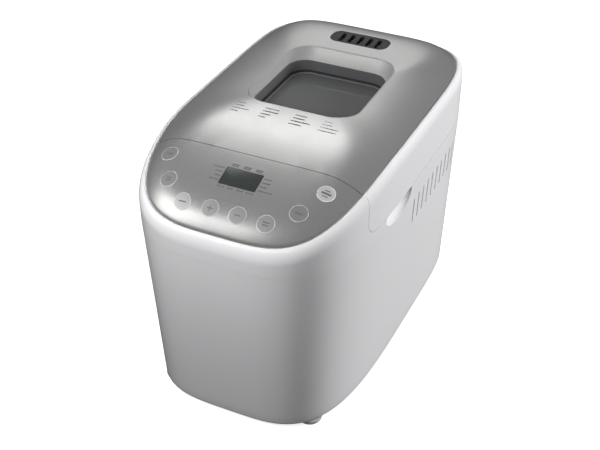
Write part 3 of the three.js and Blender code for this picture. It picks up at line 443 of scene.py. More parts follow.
CREASE_GAP = 0.00003  # the two mouldings meet in a crease, with hardly a line between them
FINE = 288
MEASURING_POINTS = 40001


def outline(plan, angle, outset=0.0, share=1.0):
    """Points of a plan, moved out by outset and then shrunk to a share of their reach."""
    half_width, front, back, centre, front_power, back_power = plan
    up = np.sin(angle) >= 0
    power = np.where(up, back_power, front_power)
    depth = np.where(up, back - centre, centre - front)
    across = np.sign(np.cos(angle)) * np.abs(np.cos(angle)) ** (2 / power)
    along = np.sign(np.sin(angle)) * np.abs(np.sin(angle)) ** (2 / power)
    return (half_width + outset) * share * across, centre + (depth + outset) * share * along


def edge_height(y):
    """Height of the silver top's edge, which falls to the front and rises a little at the back."""
    down = np.maximum(0, (FALL_START - y) / FALL_LENGTH)
    up = np.maximum(0, (y - RISE_START) / (TOP[2] - RISE_START))
    return EDGE_LEVEL - EDGE_FALL * down**FALL_POWER + EDGE_RISE * up**2


def top_height(x, y):
    """Height of the crowned silver top at any place."""
    half_width, front, back, centre, front_power, back_power = TOP
    behind = y >= centre
    power = np.where(behind, back_power, front_power)
    depth = np.where(behind, back - centre, centre - front)
    across = np.abs(x / half_width) ** power
    along = np.abs((y - centre) / depth) ** power
    share = (across + along) ** (1 / power)
    blend = along / np.maximum(across + along, 1e-12)
    side, back_fade, front_fade = CROWN_FADES
    fade = side + (np.where(behind, back_fade, front_fade) - side) * blend
    return edge_height(y) + CROWN * np.maximum(0, 1 - share**fade)


# %% [markdown]
# Points at equal angles would crowd together on the flat sides and leave the corners coarse. So the
# outline is measured first, and the angles are chosen at equal lengths along it.

# %% Rings of points
def even_angles(count):
    """Angles whose points are about evenly spaced along the outline."""
    dense = np.linspace(0, 2 * np.pi, MEASURING_POINTS)
    x, y = outline(TOP, dense)
    length = np.concatenate([[0], np.cumsum(np.hypot(np.diff(x), np.diff(y)))])
    return np.interp(np.linspace(0, length[-1], count + 1)[:-1], length, dense)


ANGLES = even_angles(FINE)


def raised(points, height):
    """Plan points given a height, which is a number or a rule of x and y."""
    xy = np.array(points)
    z = height(xy[:, 0], xy[:, 1]) if callable(height) else np.full(len(xy), height)
    return np.column_stack([xy, z])


def ring(plan, outset, height, share=1.0):
    return raised(np.column_stack(outline(plan, ANGLES, outset, share)), height)


# %% [markdown]
# A loft skins a list of rings with quads. A list that ends where it began closes on itself, as a
# wall with an inner and an outer face does; otherwise each end is closed with a fan of triangles.

# %% Lofts
def mesh_from(name, points, faces):
    mesh = bpy.data.meshes.new(name)
    mesh.from_pydata([tuple(p) for p in points], [], faces)
    mesh.validate()
    return mesh


def quads(low, high, count):
    """Faces between two rings that start at these point numbers."""
    return [
        (low + j, low + (j + 1) % count, high + (j + 1) % count, high + j) for j in range(count)
    ]


def caps(low, low_pole, high, high_pole, count):
    """Fans that close a first and a last ring onto a point in the middle of each."""
    faces = []
    for j in range(count):
        k = (j + 1) % count
        faces += [(low + j, low_pole, low + k), (high + j, high + k, high_pole)]
    return faces


def loft_mesh(name, rings, loop=False):
    count, total = len(rings[0]), len(rings)
    points = np.concatenate(rings)
    faces = []
    for i in range(total if loop else total - 1):
        faces += quads(i * count, (i + 1) % total * count, count)
    if not loop:
        points = np.concatenate([points, [rings[0].mean(axis=0)], [rings[-1].mean(axis=0)]])
        faces += caps(0, len(points) - 2, (total - 1) * count, len(points) - 1, count)
    return mesh_from(name, points, faces)


# %% [markdown]
# A piece is carved with exact booleans, which keep closed solids closed. Its modifiers are applied
# at once, so what is handed on is always a plain mesh.

# %% Carving
def solid_of(piece):
    """The piece's finished mesh, with its modifiers applied and removed."""
    evaluated = piece.evaluated_get(bpy.context.evaluated_depsgraph_get())
    mesh = bpy.data.meshes.new_from_object(evaluated)
    piece.modifiers.clear()
    old = piece.data
    piece.data = mesh
    bpy.data.meshes.remove(old)
    return piece


def carve(piece, tool, operation="DIFFERENCE"):
    """Cuts a piece with a tool, which is used up."""
    cut = piece.modifiers.new("cut", "BOOLEAN")
    cut.operation = operation
    cut.solver = "EXACT"
    cut.object = tool
    cut.material_mode = "INDEX"
    solid_of(piece)
    bpy.data.objects.remove(tool)
    return piece


def new_piece(name, mesh):
    piece = bpy.data.objects.new(name, mesh)
    bpy.context.scene.collection.objects.link(piece)
    return piece


def crisp(piece, degrees=32):
    """Smooth faces that meet softly and keep the edges that meet sharply."""
    mesh = piece.data
    mesh.shade_smooth()
    mesh.set_sharp_from_angle(angle=math.radians(degrees))
    return piece


# %% [markdown]
# Cutting shapes and small parts are outlines of lines and arcs, run along an axis.

# %% Outlines and prisms
def prism(name, profile, low, high, axis):
    """A closed outline run along an axis: 0 for X, 1 for Y, 2 for Z."""
    count = len(profile)
    others = [i for i in range(3) if i != axis]
    points = np.zeros((2 * count, 3))
    for layer, place in enumerate((low, high)):
        rows = slice(layer * count, (layer + 1) * count)
        points[rows, axis] = place
        points[rows, others[0]] = [p[0] for p in profile]
        points[rows, others[1]] = [p[1] for p in profile]
    faces = [tuple(range(count)), tuple(range(2 * count - 1, count - 1, -1))]
    faces += [(j, (j + 1) % count, count + (j + 1) % count, count + j)[::-1] for j in range(count)]
    mesh = mesh_from(name, points, faces)
    return outward(mesh)


def outward(mesh):
    work = bmesh.new()
    work.from_mesh(mesh)
    bmesh.ops.recalc_face_normals(work, faces=work.faces)
    work.to_mesh(mesh)
    work.free()
    return mesh


def arc(centre, radius, start, end, steps=10):
    return [
        (centre[0] + radius * math.cos(a), centre[1] + radius * math.sin(a))
        for a in np.radians(np.linspace(start, end, steps + 1))
    ]


def rounded(x0, x1, y0, y1, radius, steps=10):
    """A rectangle with round corners."""
    return (
        arc((x1 - radius, y0 + radius), radius, -90, 0, steps)
        + arc((x1 - radius, y1 - radius), radius, 0, 90, steps)
        + arc((x0 + radius, y1 - radius), radius, 90, 180, steps)
        + arc((x0 + radius, y0 + radius), radius, 180, 270, steps)
    )


# %% [markdown]
# The wall of the housing is one profile carried round the outline: a rounded foot, a drafted side,
# a soft crease, an upright band, a shoulder, a thin lip, and a step down to the bed of the silver
# top. The lower and the upper housing and the lid's shell are all cut from it.

# %% Housing walls
BAND_INSET = 0.0006  # the crease lies this far inside the widest line
BAND_LEAN = 0.0005
FOOT_ROUND = 0.006
SIDE_START = 0.02
SHOULDER = 0.013
LIP_OUTSET, LIP_RISE = 0.0012, 0.0001
STEP_OUTSET = 0.0004  # the step down from the lip to the bed of the silver top
INNER_DROP, INNER_RISE = 0.014, 0.010  # the same shoulder on the inside
BED_DROP = 0.0015
BED_SHARES = (1.0, 0.985, 0.96, 0.93, 0.89, 0.84, 0.77, 0.68, 0.56, 0.42, 0.25, 0.1)


def wall_ring(z, inset):
    """A ring of the drafted lower wall at height z."""
    share = (z - FLOOR_Z) / (CREASE_Z - FLOOR_Z)
    low = ring(FLOOR, -inset, z)
    high = ring(TOP, RIM_OUTSET - BAND_INSET - inset, z)
    return low * (1 - share) + high * share


def lower_wall(name):
    top = CREASE_Z - CREASE_GAP
    outer = []
    for angle in np.radians(np.linspace(0, 90, 7)):
        tuck = FOOT_ROUND * (1 - math.sin(angle))
        outer.append(wall_ring(FLOOR_Z + FOOT_ROUND * (1 - math.cos(angle)), tuck))
    outer += [wall_ring(z, 0) for z in np.linspace(SIDE_START, top, 15)]
    inner = [wall_ring(z, WALL) for z in np.linspace(top, FLOOR_Z + FOOT_ROUND, 6)]
    inner.append(wall_ring(FLOOR_Z, FOOT_ROUND + WALL))
    return loft_mesh(name, outer + inner, loop=True)


def rim_drop(drop):
    return lambda x, y: edge_height(y) - drop


def over_top(rise):
    return lambda x, y: top_height(x, y) + rise


# %% [markdown]
# The upper skin goes up the band, over the shoulder, down to the bed and back underneath. The
# shoulder is a quarter of an ellipse, which turns softly from the upright band in to the lip.

# %% Upper skin
def upper_outside():
    """Rings up the band, over the shoulder and the lip, and down to the bed."""
    low = CREASE_Z + CREASE_GAP
    rings = [ring(TOP, RIM_OUTSET - BAND_INSET, low)]
    for share in np.linspace(0.1, 0.9, 5):
        rings.append(
            ring(TOP, RIM_OUTSET - BAND_LEAN * (1 - share),
                 lambda x, y, s=share: low + s * (edge_height(y) - SHOULDER - low))
        )
    for angle in np.radians(np.linspace(0, 84, 11)):
        outset = LIP_OUTSET + (RIM_OUTSET - LIP_OUTSET) * math.cos(angle)
        rings.append(ring(TOP, outset, rim_drop(SHOULDER - (SHOULDER + LIP_RISE) * math.sin(angle))))
    rings.append(ring(TOP, LIP_OUTSET - 0.0003, rim_drop(-LIP_RISE)))
    rings.append(ring(TOP, STEP_OUTSET, rim_drop(0.0003)))
    rings.append(ring(TOP, STEP_OUTSET, rim_drop(BED_DROP)))
    return rings + [ring(TOP, 0, over_top(-BED_DROP), share) for share in BED_SHARES]


def upper_inside():
    """Rings back from under the middle of the bed to the crease."""
    rings = [ring(TOP, 0, over_top(-BED_DROP - WALL), share) for share in BED_SHARES[::-1]]
    for angle in np.radians(np.linspace(70, 0, 5)):
        outset = (RIM_OUTSET - WALL) * math.cos(angle)
        rings.append(ring(TOP, outset, rim_drop(INNER_DROP - INNER_RISE * math.sin(angle))))
    rings.append(ring(TOP, RIM_OUTSET - WALL, CREASE_Z + CREASE_GAP))
    return rings


def closed_skin(name):
    """The whole upper skin as one closed wall: over the top, and back underneath."""
    outside, inside = upper_outside(), upper_inside()
    rings = outside + inside
    turn = len(outside) - 1
    points = np.concatenate(rings + [[outside[-1].mean(axis=0)], [inside[0].mean(axis=0)]])
    faces = []
    for i in range(len(rings)):
        if i != turn:
            faces += quads(i * FINE, (i + 1) % len(rings) * FINE, FINE)
    faces += caps((turn + 1) * FINE, len(points) - 1, turn * FINE, len(points) - 2, FINE)
    return mesh_from(name, points, faces)


# %% [markdown]
# The lid is cut out of that skin along its own side view: an upright front seam, a round corner, a
# level skirt, and an arc round the hinge so that it can open without touching the housing.

# %% Cutting shapes of the lid
SEAM_Y = (panel_high.y + plate_low.y) / 2
LID_FRONT = plate_low.y
SKIRT_Z = shell_low.z
SKIRT_CORNER = 0.018
LID_GAP = 0.0006
SEAM_HALF_GAP = 0.0004
HINGE_Y, HINGE_Z, HINGE_RADIUS, HINGE_RISE = 0.197, 0.240, 0.014, 0.002
FAR = 0.5
AWAY = 0.4  # beyond the machine on any side
MIDDLE = 0.2  # above the lower housing and below the lid, and beyond its sides


def lid_outline(grow):
    front = LID_FRONT - grow
    low = SKIRT_Z - grow
    corner = SKIRT_CORNER + grow
    profile = [(FAR, FAR), (front, FAR)]
    profile += arc((front + corner, low + corner), corner, 180, 270, 16)
    if grow == 0:
        profile += arc((HINGE_Y, HINGE_Z), HINGE_RADIUS, -90, 0, 16)
        profile.append((FAR, HINGE_Z + HINGE_RISE))
    else:
        profile.append((FAR, low))
    return profile


def lid_prism(grow):
    return new_piece("lid_cutter", prism("lid_cutter", lid_outline(grow), -FAR, FAR, 0))


def block(name, low, high):
    profile = [(low[0], low[1]), (high[0], low[1]), (high[0], high[1]), (low[0], high[1])]
    return new_piece(name, prism(name, profile, low[2], high[2], 2))


print("form ready: top", [round(v * 1000, 1) for v in TOP[:3]], "mm")

# %% [markdown]
# A slot with round ends is the convex hull of two short cylinders. Geometry Nodes makes one, turns
# it, and sets it out in a row; the count, pitch, size and turn are inputs of the tree, so the side
# vents, the rear vents and the grille all come from this one tree.

# %% Row of round-ended slots
SLOT_INPUTS = {
    "Count": "Int", "Start": "Vector", "Pitch": "Vector", "Turn": "Vector", "Radius": "Float",
    "Reach": "Vector", "Depth": "Float", "Material": "Material",
}
SLOT_NODES = {
    "enter": "NodeGroupInput", "leave": "NodeGroupOutput", "ends": "GeometryNodeMeshLine",
    "flip": "ShaderNodeVectorMath", "drum": "GeometryNodeMeshCylinder",
    "pair": "GeometryNodeInstanceOnPoints", "hull": "GeometryNodeConvexHull",
    "turned": "GeometryNodeTransform", "row": "GeometryNodeMeshLine",
    "copies": "GeometryNodeInstanceOnPoints", "real": "GeometryNodeRealizeInstances",
    "paint": "GeometryNodeSetMaterial", "joined": "GeometryNodeRealizeInstances",
}
SLOT_WIRES = (
    ("enter", "Reach", "flip", 0),
    ("flip", 0, "ends", "Start Location"),
    ("enter", "Reach", "ends", "Offset"),
    ("enter", "Radius", "drum", "Radius"),
    ("enter", "Depth", "drum", "Depth"),
    ("ends", "Mesh", "pair", "Points"),
    ("drum", "Mesh", "pair", "Instance"),
    ("pair", "Instances", "joined", "Geometry"),
    ("joined", "Geometry", "hull", "Geometry"),
    ("hull", 0, "turned", "Geometry"),
    ("enter", "Turn", "turned", "Rotation"),
    ("enter", "Count", "row", "Count"),
    ("enter", "Start", "row", "Start Location"),
    ("enter", "Pitch", "row", "Offset"),
    ("row", "Mesh", "copies", "Points"),
    ("turned", "Geometry", "copies", "Instance"),
    ("copies", "Instances", "real", "Geometry"),
    ("real", "Geometry", "paint", "Geometry"),
    ("enter", "Material", "paint", "Material"),
    ("paint", "Geometry", "leave", "Geometry"),
)


def slot_tree():
    tree = bpy.data.node_groups.new("row_of_slots", "GeometryNodeTree")
    tree.interface.new_socket("Geometry", in_out="OUTPUT", socket_type="NodeSocketGeometry")
    for label, kind in SLOT_INPUTS.items():
        tree.interface.new_socket(label, in_out="INPUT", socket_type="NodeSocket" + kind)
    made = {name: tree.nodes.new(kind) for name, kind in SLOT_NODES.items()}
    made["ends"].mode = "END_POINTS"
    made["ends"].inputs["Count"].default_value = 2
    made["flip"].operation = "SCALE"
    made["flip"].inputs["Scale"].default_value = -1
    made["drum"].inputs["Vertices"].default_value = 20
    made["row"].mode = "OFFSET"
    for source, output, target, entry in SLOT_WIRES:
        tree.links.new(made[source].outputs[output], made[target].inputs[entry])
    return tree


# %% [markdown]
# Every row of slots is the same tree with other values, and becomes a plain mesh straight away.

# %% Using the tree
SLOT_TREE = slot_tree()


def row_of_slots(name, count, start, pitch, turn, length, width, depth, slot_name):
    piece = new_piece(name, bpy.data.meshes.new(name))
    modifier = piece.modifiers.new("row", "NODES")
    modifier.node_group = SLOT_TREE
    values = {
        "Count": count, "Start": start, "Pitch": pitch, "Turn": turn, "Radius": width / 2,
        "Reach": ((length - width) / 2, 0, 0), "Depth": depth, "Material": FINISHES[slot_name],
    }
    for item in SLOT_TREE.interface.items_tree:
        if item.item_type == "SOCKET" and item.in_out == "INPUT":
            modifier[item.identifier] = values[item.name]
    solid_of(piece)
    print(name, ":", count, "slots,", len(piece.data.polygons), "faces")
    return piece


# %% [markdown]
# A finished piece is adopted: it gets its finish, rides on its body, and stands for the solids that
# it replaces. The replaced nodes are noted, so that the rest can be eased at the end.

# %% Adopting a piece
replaced_nodes = set()


def adopt(piece, slot_name, body, *replaced):
    piece.data.materials.clear()
    piece.data.materials.append(FINISHES[slot_name])
    for polygon in piece.data.polygons:
        polygon.material_index = 0
    if replaced:
        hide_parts(*replaced)
        replaced_nodes.update(replaced)
    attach(piece, body)
    heights = [vertex.co.z * 1000 for vertex in piece.data.vertices]
    faces = len(piece.data.polygons)
    print(piece.name, ":", faces, "faces, height", round(max(heights) - min(heights), 1), "mm")
    return piece


# %% [markdown]
# ## Lower housing
# The lower wall is the loft, with a pocket behind each finger recess, the recess scooped out of it,
# and the side vents, the rear vents and the opening for the mains inlet cut through.

# %% Lower housing
RECESS = Vector((0.134, -0.0425, 0.222))
RECESS_RADII = Vector((0.012, 0.036, 0.017))
VENT_WIDTH, VENT_PITCH, VENT_COUNT, VENT_START = 0.003, 0.015, 10, 0.0076
VENT_LOW, VENT_HIGH = 0.167, 0.200
REAR_VENT_COUNT, REAR_VENT_PITCH, REAR_VENT_LOW = 7, 0.009, 0.096
REAR_VENT_LENGTH, REAR_VENT_WIDTH, REAR_VENT_DEPTH = 0.09, 0.0036, 0.08
REAR_VENT_MIDDLE = 0.23
POCKET_LOW, POCKET_HIGH = 0.18, 0.245
INLET_FRONT = 0.19
inlet_low, inlet_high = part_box("inlet_socket")
QUARTER = math.radians(90)


def recess_ball(side, grow=0.0):
    """The ellipsoid that a fingertip needs under the edge of the lid."""
    work = bmesh.new()
    bmesh.ops.create_uvsphere(work, u_segments=64, v_segments=40, radius=1)
    for vertex in work.verts:
        for axis in range(3):
            vertex.co[axis] *= RECESS_RADII[axis] + grow
        vertex.co += Vector((side * RECESS.x, RECESS.y, RECESS.z))
    mesh = bpy.data.meshes.new("recess")
    work.to_mesh(mesh)
    work.free()
    return new_piece("recess", mesh)


def wall_core(low, high):
    """A plug of the housing between two heights, half a wall inside its outer face."""
    rings = []
    for z in np.linspace(low, high, 6):
        rings.append(wall_ring(z, WALL / 2) if z < CREASE_Z else ring(TOP, RIM_OUTSET - WALL / 2, z))
    return new_piece("core", outward(loft_mesh("core", rings)))


def add_recess(piece, low, high):
    for side in (-1, 1):
        pocket = recess_ball(side, WALL)
        carve(pocket, wall_core(low, high), "INTERSECT")
        carve(piece, pocket, "UNION")
        carve(piece, recess_ball(side))


# %% [markdown]
# The order of the cuts matters little here, but the pockets are joined on before the recesses are
# scooped out of them.

# %% Cutting the lower housing
lower = new_piece("lower_housing_skin", outward(lower_wall("lower_housing_skin")))
add_recess(lower, POCKET_LOW, CREASE_Z - GAP / 2)
vent_middle = (VENT_LOW + VENT_HIGH) / 2
vents = row_of_slots(
    "side_vent_cutter", VENT_COUNT, (0, VENT_START, vent_middle), (0, VENT_PITCH, 0),
    (0, QUARTER, 0), VENT_HIGH - VENT_LOW, VENT_WIDTH, FAR, "white_plastic",
)
carve(lower, vents)
rear_vents = row_of_slots(
    "rear_vent_cutter", REAR_VENT_COUNT, (0, REAR_VENT_MIDDLE, REAR_VENT_LOW),
    (0, 0, REAR_VENT_PITCH), (QUARTER, 0, 0), REAR_VENT_LENGTH, REAR_VENT_WIDTH, REAR_VENT_DEPTH,
    "white_plastic",
)
carve(lower, rear_vents)
inlet_hole = block(
    "inlet_hole", (inlet_low.x - GAP, INLET_FRONT, inlet_low.z - GAP),
    (inlet_high.x + GAP, AWAY, inlet_high.z + GAP),
)
carve(lower, inlet_hole)
adopt(crisp(lower), "white_plastic", "body", "lower_housing")

# %% [markdown]
# ## Upper housing and lid shell
# Both are the same closed skin: the lid is what lies inside the lid's side view, and the housing is
# what lies outside that view grown by the slit between them. Cutting one skin twice keeps the
# surfaces of the two in line, as they are on the real thing when the lid is shut. First come the
# places on the panel, where the keys and the display stand square to the crowned top.

# %% Holes in the panel
def panel_place(x, y):
    """A matrix that stands on the silver top at (x, y), square to it."""
    step = 0.001
    slope_x = (top_height(x + step, y) - top_height(x - step, y)) / (2 * step)
    slope_y = (top_height(x, y + step) - top_height(x, y - step)) / (2 * step)
    normal = Vector((-float(slope_x), -float(slope_y), 1)).normalized()
    turn = Vector((0, 0, 1)).rotation_difference(normal).to_matrix().to_4x4()
    place = Vector((x, y, float(top_height(x, y))))
    return Matrix.Translation(place) @ turn


def turned_mesh(name, profile, sides=64):
    """A profile of (radius, height) turned about Z; its two ends are closed with fans."""
    angles = np.linspace(0, 2 * np.pi, sides + 1)[:-1]
    rings = [raised(np.column_stack([r * np.cos(angles), r * np.sin(angles)]), z) for r, z in profile]
    return outward(loft_mesh(name, rings))


BUTTON_RADIUS = 0.0093
BUTTONS = {
    "menu_button": (-0.0892, -0.1395),
    "start_stop_button": (0.0892, -0.1395),
    "loaf_size_button": (-0.0735, -0.1695),
    "cancel_button": (0.0735, -0.1695),
    "crust_button": (-0.0468, -0.1884),
    "home_program_button": (0.0468, -0.1884),
    "plus_button": (-0.0154, -0.1882),
    "minus_button": (0.0154, -0.1882),
}
DISPLAY_Y = -0.1502
DISPLAY_HALF = (0.0206, 0.0114)
DISPLAY_CORNER = 0.0012
HOLE_LOW, WINDOW_LOW, HOLE_HIGH = -0.012, -0.02, 0.006
KEY_CLEARANCE = 0.0005


def panel_holes(piece, grow):
    for place in BUTTONS.values():
        radius = BUTTON_RADIUS + grow
        disc = turned_mesh("hole", [(radius, HOLE_LOW), (radius, HOLE_HIGH)])
        disc.transform(panel_place(*place))
        carve(piece, new_piece("hole", disc))
    wide, deep = DISPLAY_HALF[0] + GAP, DISPLAY_HALF[1] + GAP
    window = prism("hole", rounded(-wide, wide, -deep, deep, DISPLAY_CORNER, 4), WINDOW_LOW, HOLE_HIGH, 2)
    window.transform(panel_place(0, DISPLAY_Y))
    carve(piece, new_piece("hole", window))


# %% [markdown]
# The upper housing is the skin with the recess pressed in, the lid's room taken out, and the holes
# for the keys a little wider than those in the silver panel above it.

# %% Upper housing
skin = new_piece("skin", outward(closed_skin("skin")))
upper = new_piece("upper_housing_skin", skin.data.copy())
add_recess(upper, CREASE_Z + GAP / 2, POCKET_HIGH)
carve(upper, lid_prism(LID_GAP))
panel_holes(upper, KEY_CLEARANCE)
adopt(crisp(upper), "white_plastic", "body", "upper_housing")

# %% [markdown]
# The bulkhead closes the space behind the control panel, where the open lid shows it. It is a flat
# wall whose edge follows the inside of the housing.

# %% Bulkhead
BULKHEAD_BACK = SEAM_Y - SEAM_HALF_GAP
LIP_LOW = 0.262
DECK_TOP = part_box("chamber_deck")[1].z
core_rings = [ring(TOP, RIM_OUTSET - WALL - GAP, z) for z in np.linspace(DECK_TOP + GAP, LIP_LOW, 8)]
bulkhead = new_piece("bulkhead", outward(loft_mesh("bulkhead", core_rings)))
bulkhead_slab = block("slab", (-MIDDLE, BULKHEAD_BACK - WALL, MIDDLE), (MIDDLE, BULKHEAD_BACK, AWAY))
carve(bulkhead, bulkhead_slab, "INTERSECT")
adopt(crisp(bulkhead), "white_plastic", "body")

# %% [markdown]
# The lid's shell is the rest of the skin. It has a lip behind the seam, four ears for the hinge pins
# with room for the brackets between them, and holes for the window and the grille.

# %% Holes in the lid
WINDOW_HALF, WINDOW_FRONT, WINDOW_BACK, WINDOW_CORNER = 0.067, -0.0284, 0.1212, 0.030
GRILLE_Y, GRILLE_HALF, GRILLE_DEEP, GRILLE_CORNER = 0.1556, 0.037, 0.014, 0.011


def window_plan(side, back, steps):
    """The window's outline, moved in by different amounts at the back and on the other sides."""
    wide = WINDOW_HALF - side
    front = WINDOW_FRONT + side
    return rounded(-wide, wide, front, WINDOW_BACK - back, WINDOW_CORNER - side, steps)


def grille_plan(grow, steps):
    wide, deep = GRILLE_HALF + grow, GRILLE_DEEP + grow
    return rounded(-wide, wide, GRILLE_Y - deep, GRILLE_Y + deep, GRILLE_CORNER + grow, steps)


def through_lid(name, profile):
    return new_piece(name, prism(name, profile, MIDDLE, AWAY, 2))


def window_hole(grow):
    return through_lid("window_hole", window_plan(-grow, -grow, 24))


def grille_hole(grow):
    return through_lid("grille_hole", grille_plan(grow, 20))




# %% [markdown]
# The lip and the ears are plain shapes, trimmed by a solid that fills the lid to the middle of its
# wall, so that they join the wall from inside and never show on its face.

# %% Lid shell
HINGE_X, NOTCH_HALF, NOTCH_FRONT, NOTCH_TOP = 0.080, 0.0098, 0.185, 0.248
CORE_LOW, CORE_HIGH = 0.2, 0.25
CORE_SHARES = (1.0, 0.97, 0.9, 0.8, 0.66, 0.5, 0.3, 0.1)
EAR_RADIUS, EAR_NEAR, EAR_FAR, PIN_BORE = 0.006, 0.0058, 0.0096, 0.003
BORE_MARGIN = 0.01


def trimmed(piece):
    under = PLATE_THICK + WALL * 0.7
    rings = [ring(TOP, RIM_OUTSET - WALL / 2, z) for z in np.linspace(CORE_LOW, CORE_HIGH, 6)]
    rings += [ring(TOP, RIM_OUTSET - WALL, over_top(-under), share) for share in CORE_SHARES]
    return carve(piece, new_piece("lid_core", outward(loft_mesh("lid_core", rings))), "INTERSECT")


def hinge_ear(low, high):
    """A rib with a round end and a bore for the hinge pin, hanging from the lid's roof."""
    profile = arc((HINGE_Y, HINGE_Z), EAR_RADIUS, 180, 360, 24)
    profile += [(HINGE_Y + EAR_RADIUS, FAR), (HINGE_Y - EAR_RADIUS, FAR)]
    ear = trimmed(new_piece("ear", prism("ear", profile, low, high, 0)))
    bore = arc((HINGE_Y, HINGE_Z), PIN_BORE, 0, 345, 23)
    return carve(ear, new_piece("bore", prism("bore", bore, low - BORE_MARGIN, high + BORE_MARGIN, 0)))


lid_shell = new_piece("lid_shell_skin", skin.data.copy())
carve(lid_shell, lid_prism(0), "INTERSECT")
for side in (-1, 1):
    x = side * HINGE_X
    low, high = (x - NOTCH_HALF, NOTCH_FRONT, 0), (x + NOTCH_HALF, AWAY, NOTCH_TOP)
    carve(lid_shell, block("notch", low, high))
lip = block("lip", (-MIDDLE, LID_FRONT, LIP_LOW), (MIDDLE, LID_FRONT + WALL, FAR))
carve(lid_shell, trimmed(lip), "UNION")
for side in (-1, 1):
    for inward in (-1, 1):
        edges = sorted(side * (HINGE_X + inward * reach) for reach in (EAR_NEAR, EAR_FAR))
        carve(lid_shell, hinge_ear(*edges), "UNION")
carve(lid_shell, window_hole(0.001))
carve(lid_shell, grille_hole(GAP))
bpy.data.objects.remove(skin)
adopt(crisp(lid_shell), "white_plastic", "lid", "lid_shell")

# %% [markdown]
# ## Silver top
# The top is a pressed sheet 1.2 mm thick, whose visible edge is cut at a slant and catches the
# light as a thin bright line. It is one crowned slab, cut in two at the seam between the control
# panel and the lid.

# %% Silver top
PLATE_INSET = 0.0004  # widens the dark slit round the silver top
PLATE_SHARES = (
    1.0, 0.994, 0.986, 0.975, 0.96, 0.94, 0.91, 0.87, 0.82, 0.75, 0.66, 0.55, 0.42, 0.28, 0.14, 0.04,
)
CHAMFER = 0.0007


def top_slab(name):
    top = [ring(TOP, -PLATE_INSET - CHAMFER, top_height, s) for s in PLATE_SHARES[::-1]]
    edge = [ring(TOP, -PLATE_INSET, rim_drop(drop)) for drop in (CHAMFER * 0.55, PLATE_THICK)]
    under = [ring(TOP, -PLATE_INSET - CHAMFER, over_top(-PLATE_THICK), s) for s in PLATE_SHARES]
    return new_piece(name, outward(loft_mesh(name, top + edge + under)))


control_panel = top_slab("control_panel")
panel_back = LID_FRONT - 2 * SEAM_HALF_GAP
carve(control_panel, block("half", (-MIDDLE, panel_back, 0), (MIDDLE, AWAY, AWAY)))
panel_holes(control_panel, GAP)
adopt(crisp(control_panel), "silver_top", "body", "control_panel_plate")

lid_top = top_slab("lid_top")
carve(lid_top, block("half", (-MIDDLE, -AWAY, 0), (MIDDLE, LID_FRONT, AWAY)))
carve(lid_top, window_hole(0))
carve(lid_top, grille_hole(0))
adopt(crisp(lid_top), "silver_top", "lid", "lid_top_plate")

# %% [markdown]
# ## Window
# The frame is a lacquered moulding that funnels down to the glass: it rolls over the edge of the
# silver top, slopes inward, turns over a lip and drops to the glass. It is lofted from rounded
# rectangles whose sides move in by different amounts, because the slope is wider at the back.

# %% Window frame
GLASS_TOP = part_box("window_glass")[1].z
FRAME_LOW = GLASS_TOP + GAP
SLOPE_SIDE, SLOPE_BACK, SLOPE_Z = 0.005, 0.015, 0.290
SLOPE_SAG, LIP_ROLL = 0.0006, 0.0012


def window_ring(side, back, height):
    return raised(window_plan(side, back, 20), height)


def lip_ring(reach, height):
    """A ring that lies the same distance in from the foot of the slope on every side."""
    return window_ring(SLOPE_SIDE + reach, SLOPE_BACK + reach, height)


def frame_rings():
    rings = [window_ring(GAP, GAP, FRAME_LOW)]
    for inset, rise in ((0, -0.0006), (0.0001, -0.0002), (0.0004, 0.0001), (0.0009, 0.0001)):
        rings.append(window_ring(GAP + inset, GAP + inset, over_top(rise)))
    start, foot = rings[-1], lip_ring(0, SLOPE_Z)
    for share in (0.08, 0.2, 0.4, 0.6, 0.8, 0.92):
        middle = start * (1 - share) + foot * share
        middle[:, 2] -= SLOPE_SAG * math.sin(math.pi * share)
        rings.append(middle)
    rings.append(foot)
    for turn in np.radians(np.linspace(25, 90, 5)):
        down = LIP_ROLL * (1 - math.cos(turn))
        rings.append(lip_ring(LIP_ROLL * math.sin(turn), SLOPE_Z - down))
    return rings + [lip_ring(LIP_ROLL, FRAME_LOW)]


def window_band(name, rings, finish, *replaced):
    piece = new_piece(name, outward(loft_mesh(name, rings, loop=True)))
    return adopt(crisp(piece, 40), finish, "lid", *replaced)


window_frame = window_band("window_surround", frame_rings(), "silver_bezel", "window_frame")

# %% [markdown]
# Inside the frame stand a black gasket that holds the glass, a grey sleeve that hides its edge and
# covers the frame's inner wall with a dark grey that is painted shade, and the pale foot of the gasket,
# which draws a thin line on the glass. Each is a closed profile of (distance in from the slope, height).

# %% Gasket
SEAT = GLASS_TOP + 0.0002
GASKET_HIGH = GLASS_TOP + 0.0034
# The sleeve is painted shade: a dark grey lining where the frame's silver inner wall lies in shadow.
SHADE_SLEEVE_HIGH = SLOPE_Z - LIP_ROLL
GASKET_NEAR, GASKET_FAR = LIP_ROLL + 0.0007, 0.0034
SHADE_SLEEVE_NEAR, SHADE_SLEEVE_FAR = LIP_ROLL + 0.0001, LIP_ROLL + 0.0006
GASKET_PROFILE = (
    (GASKET_NEAR, SEAT), (GASKET_NEAR, GASKET_HIGH), (GASKET_NEAR + 0.0006, GASKET_HIGH),
    (GASKET_FAR - 0.0005, SEAT + 0.0020), (GASKET_FAR, SEAT + 0.0012), (GASKET_FAR, SEAT),
)
SHADE_SLEEVE_PROFILE = (
    (SHADE_SLEEVE_NEAR, SEAT), (SHADE_SLEEVE_NEAR, SHADE_SLEEVE_HIGH), (SHADE_SLEEVE_NEAR + 0.0003, SHADE_SLEEVE_HIGH - 0.0002),
    (SHADE_SLEEVE_FAR, SHADE_SLEEVE_HIGH - 0.0008), (SHADE_SLEEVE_FAR, SEAT),
)
GASKET_FOOT_PROFILE = (
    (0.0036, SEAT), (0.0036, SEAT + 0.0009), (0.0040, SEAT + 0.0011), (0.0056, SEAT + 0.0004),
    (0.0056, SEAT),
)
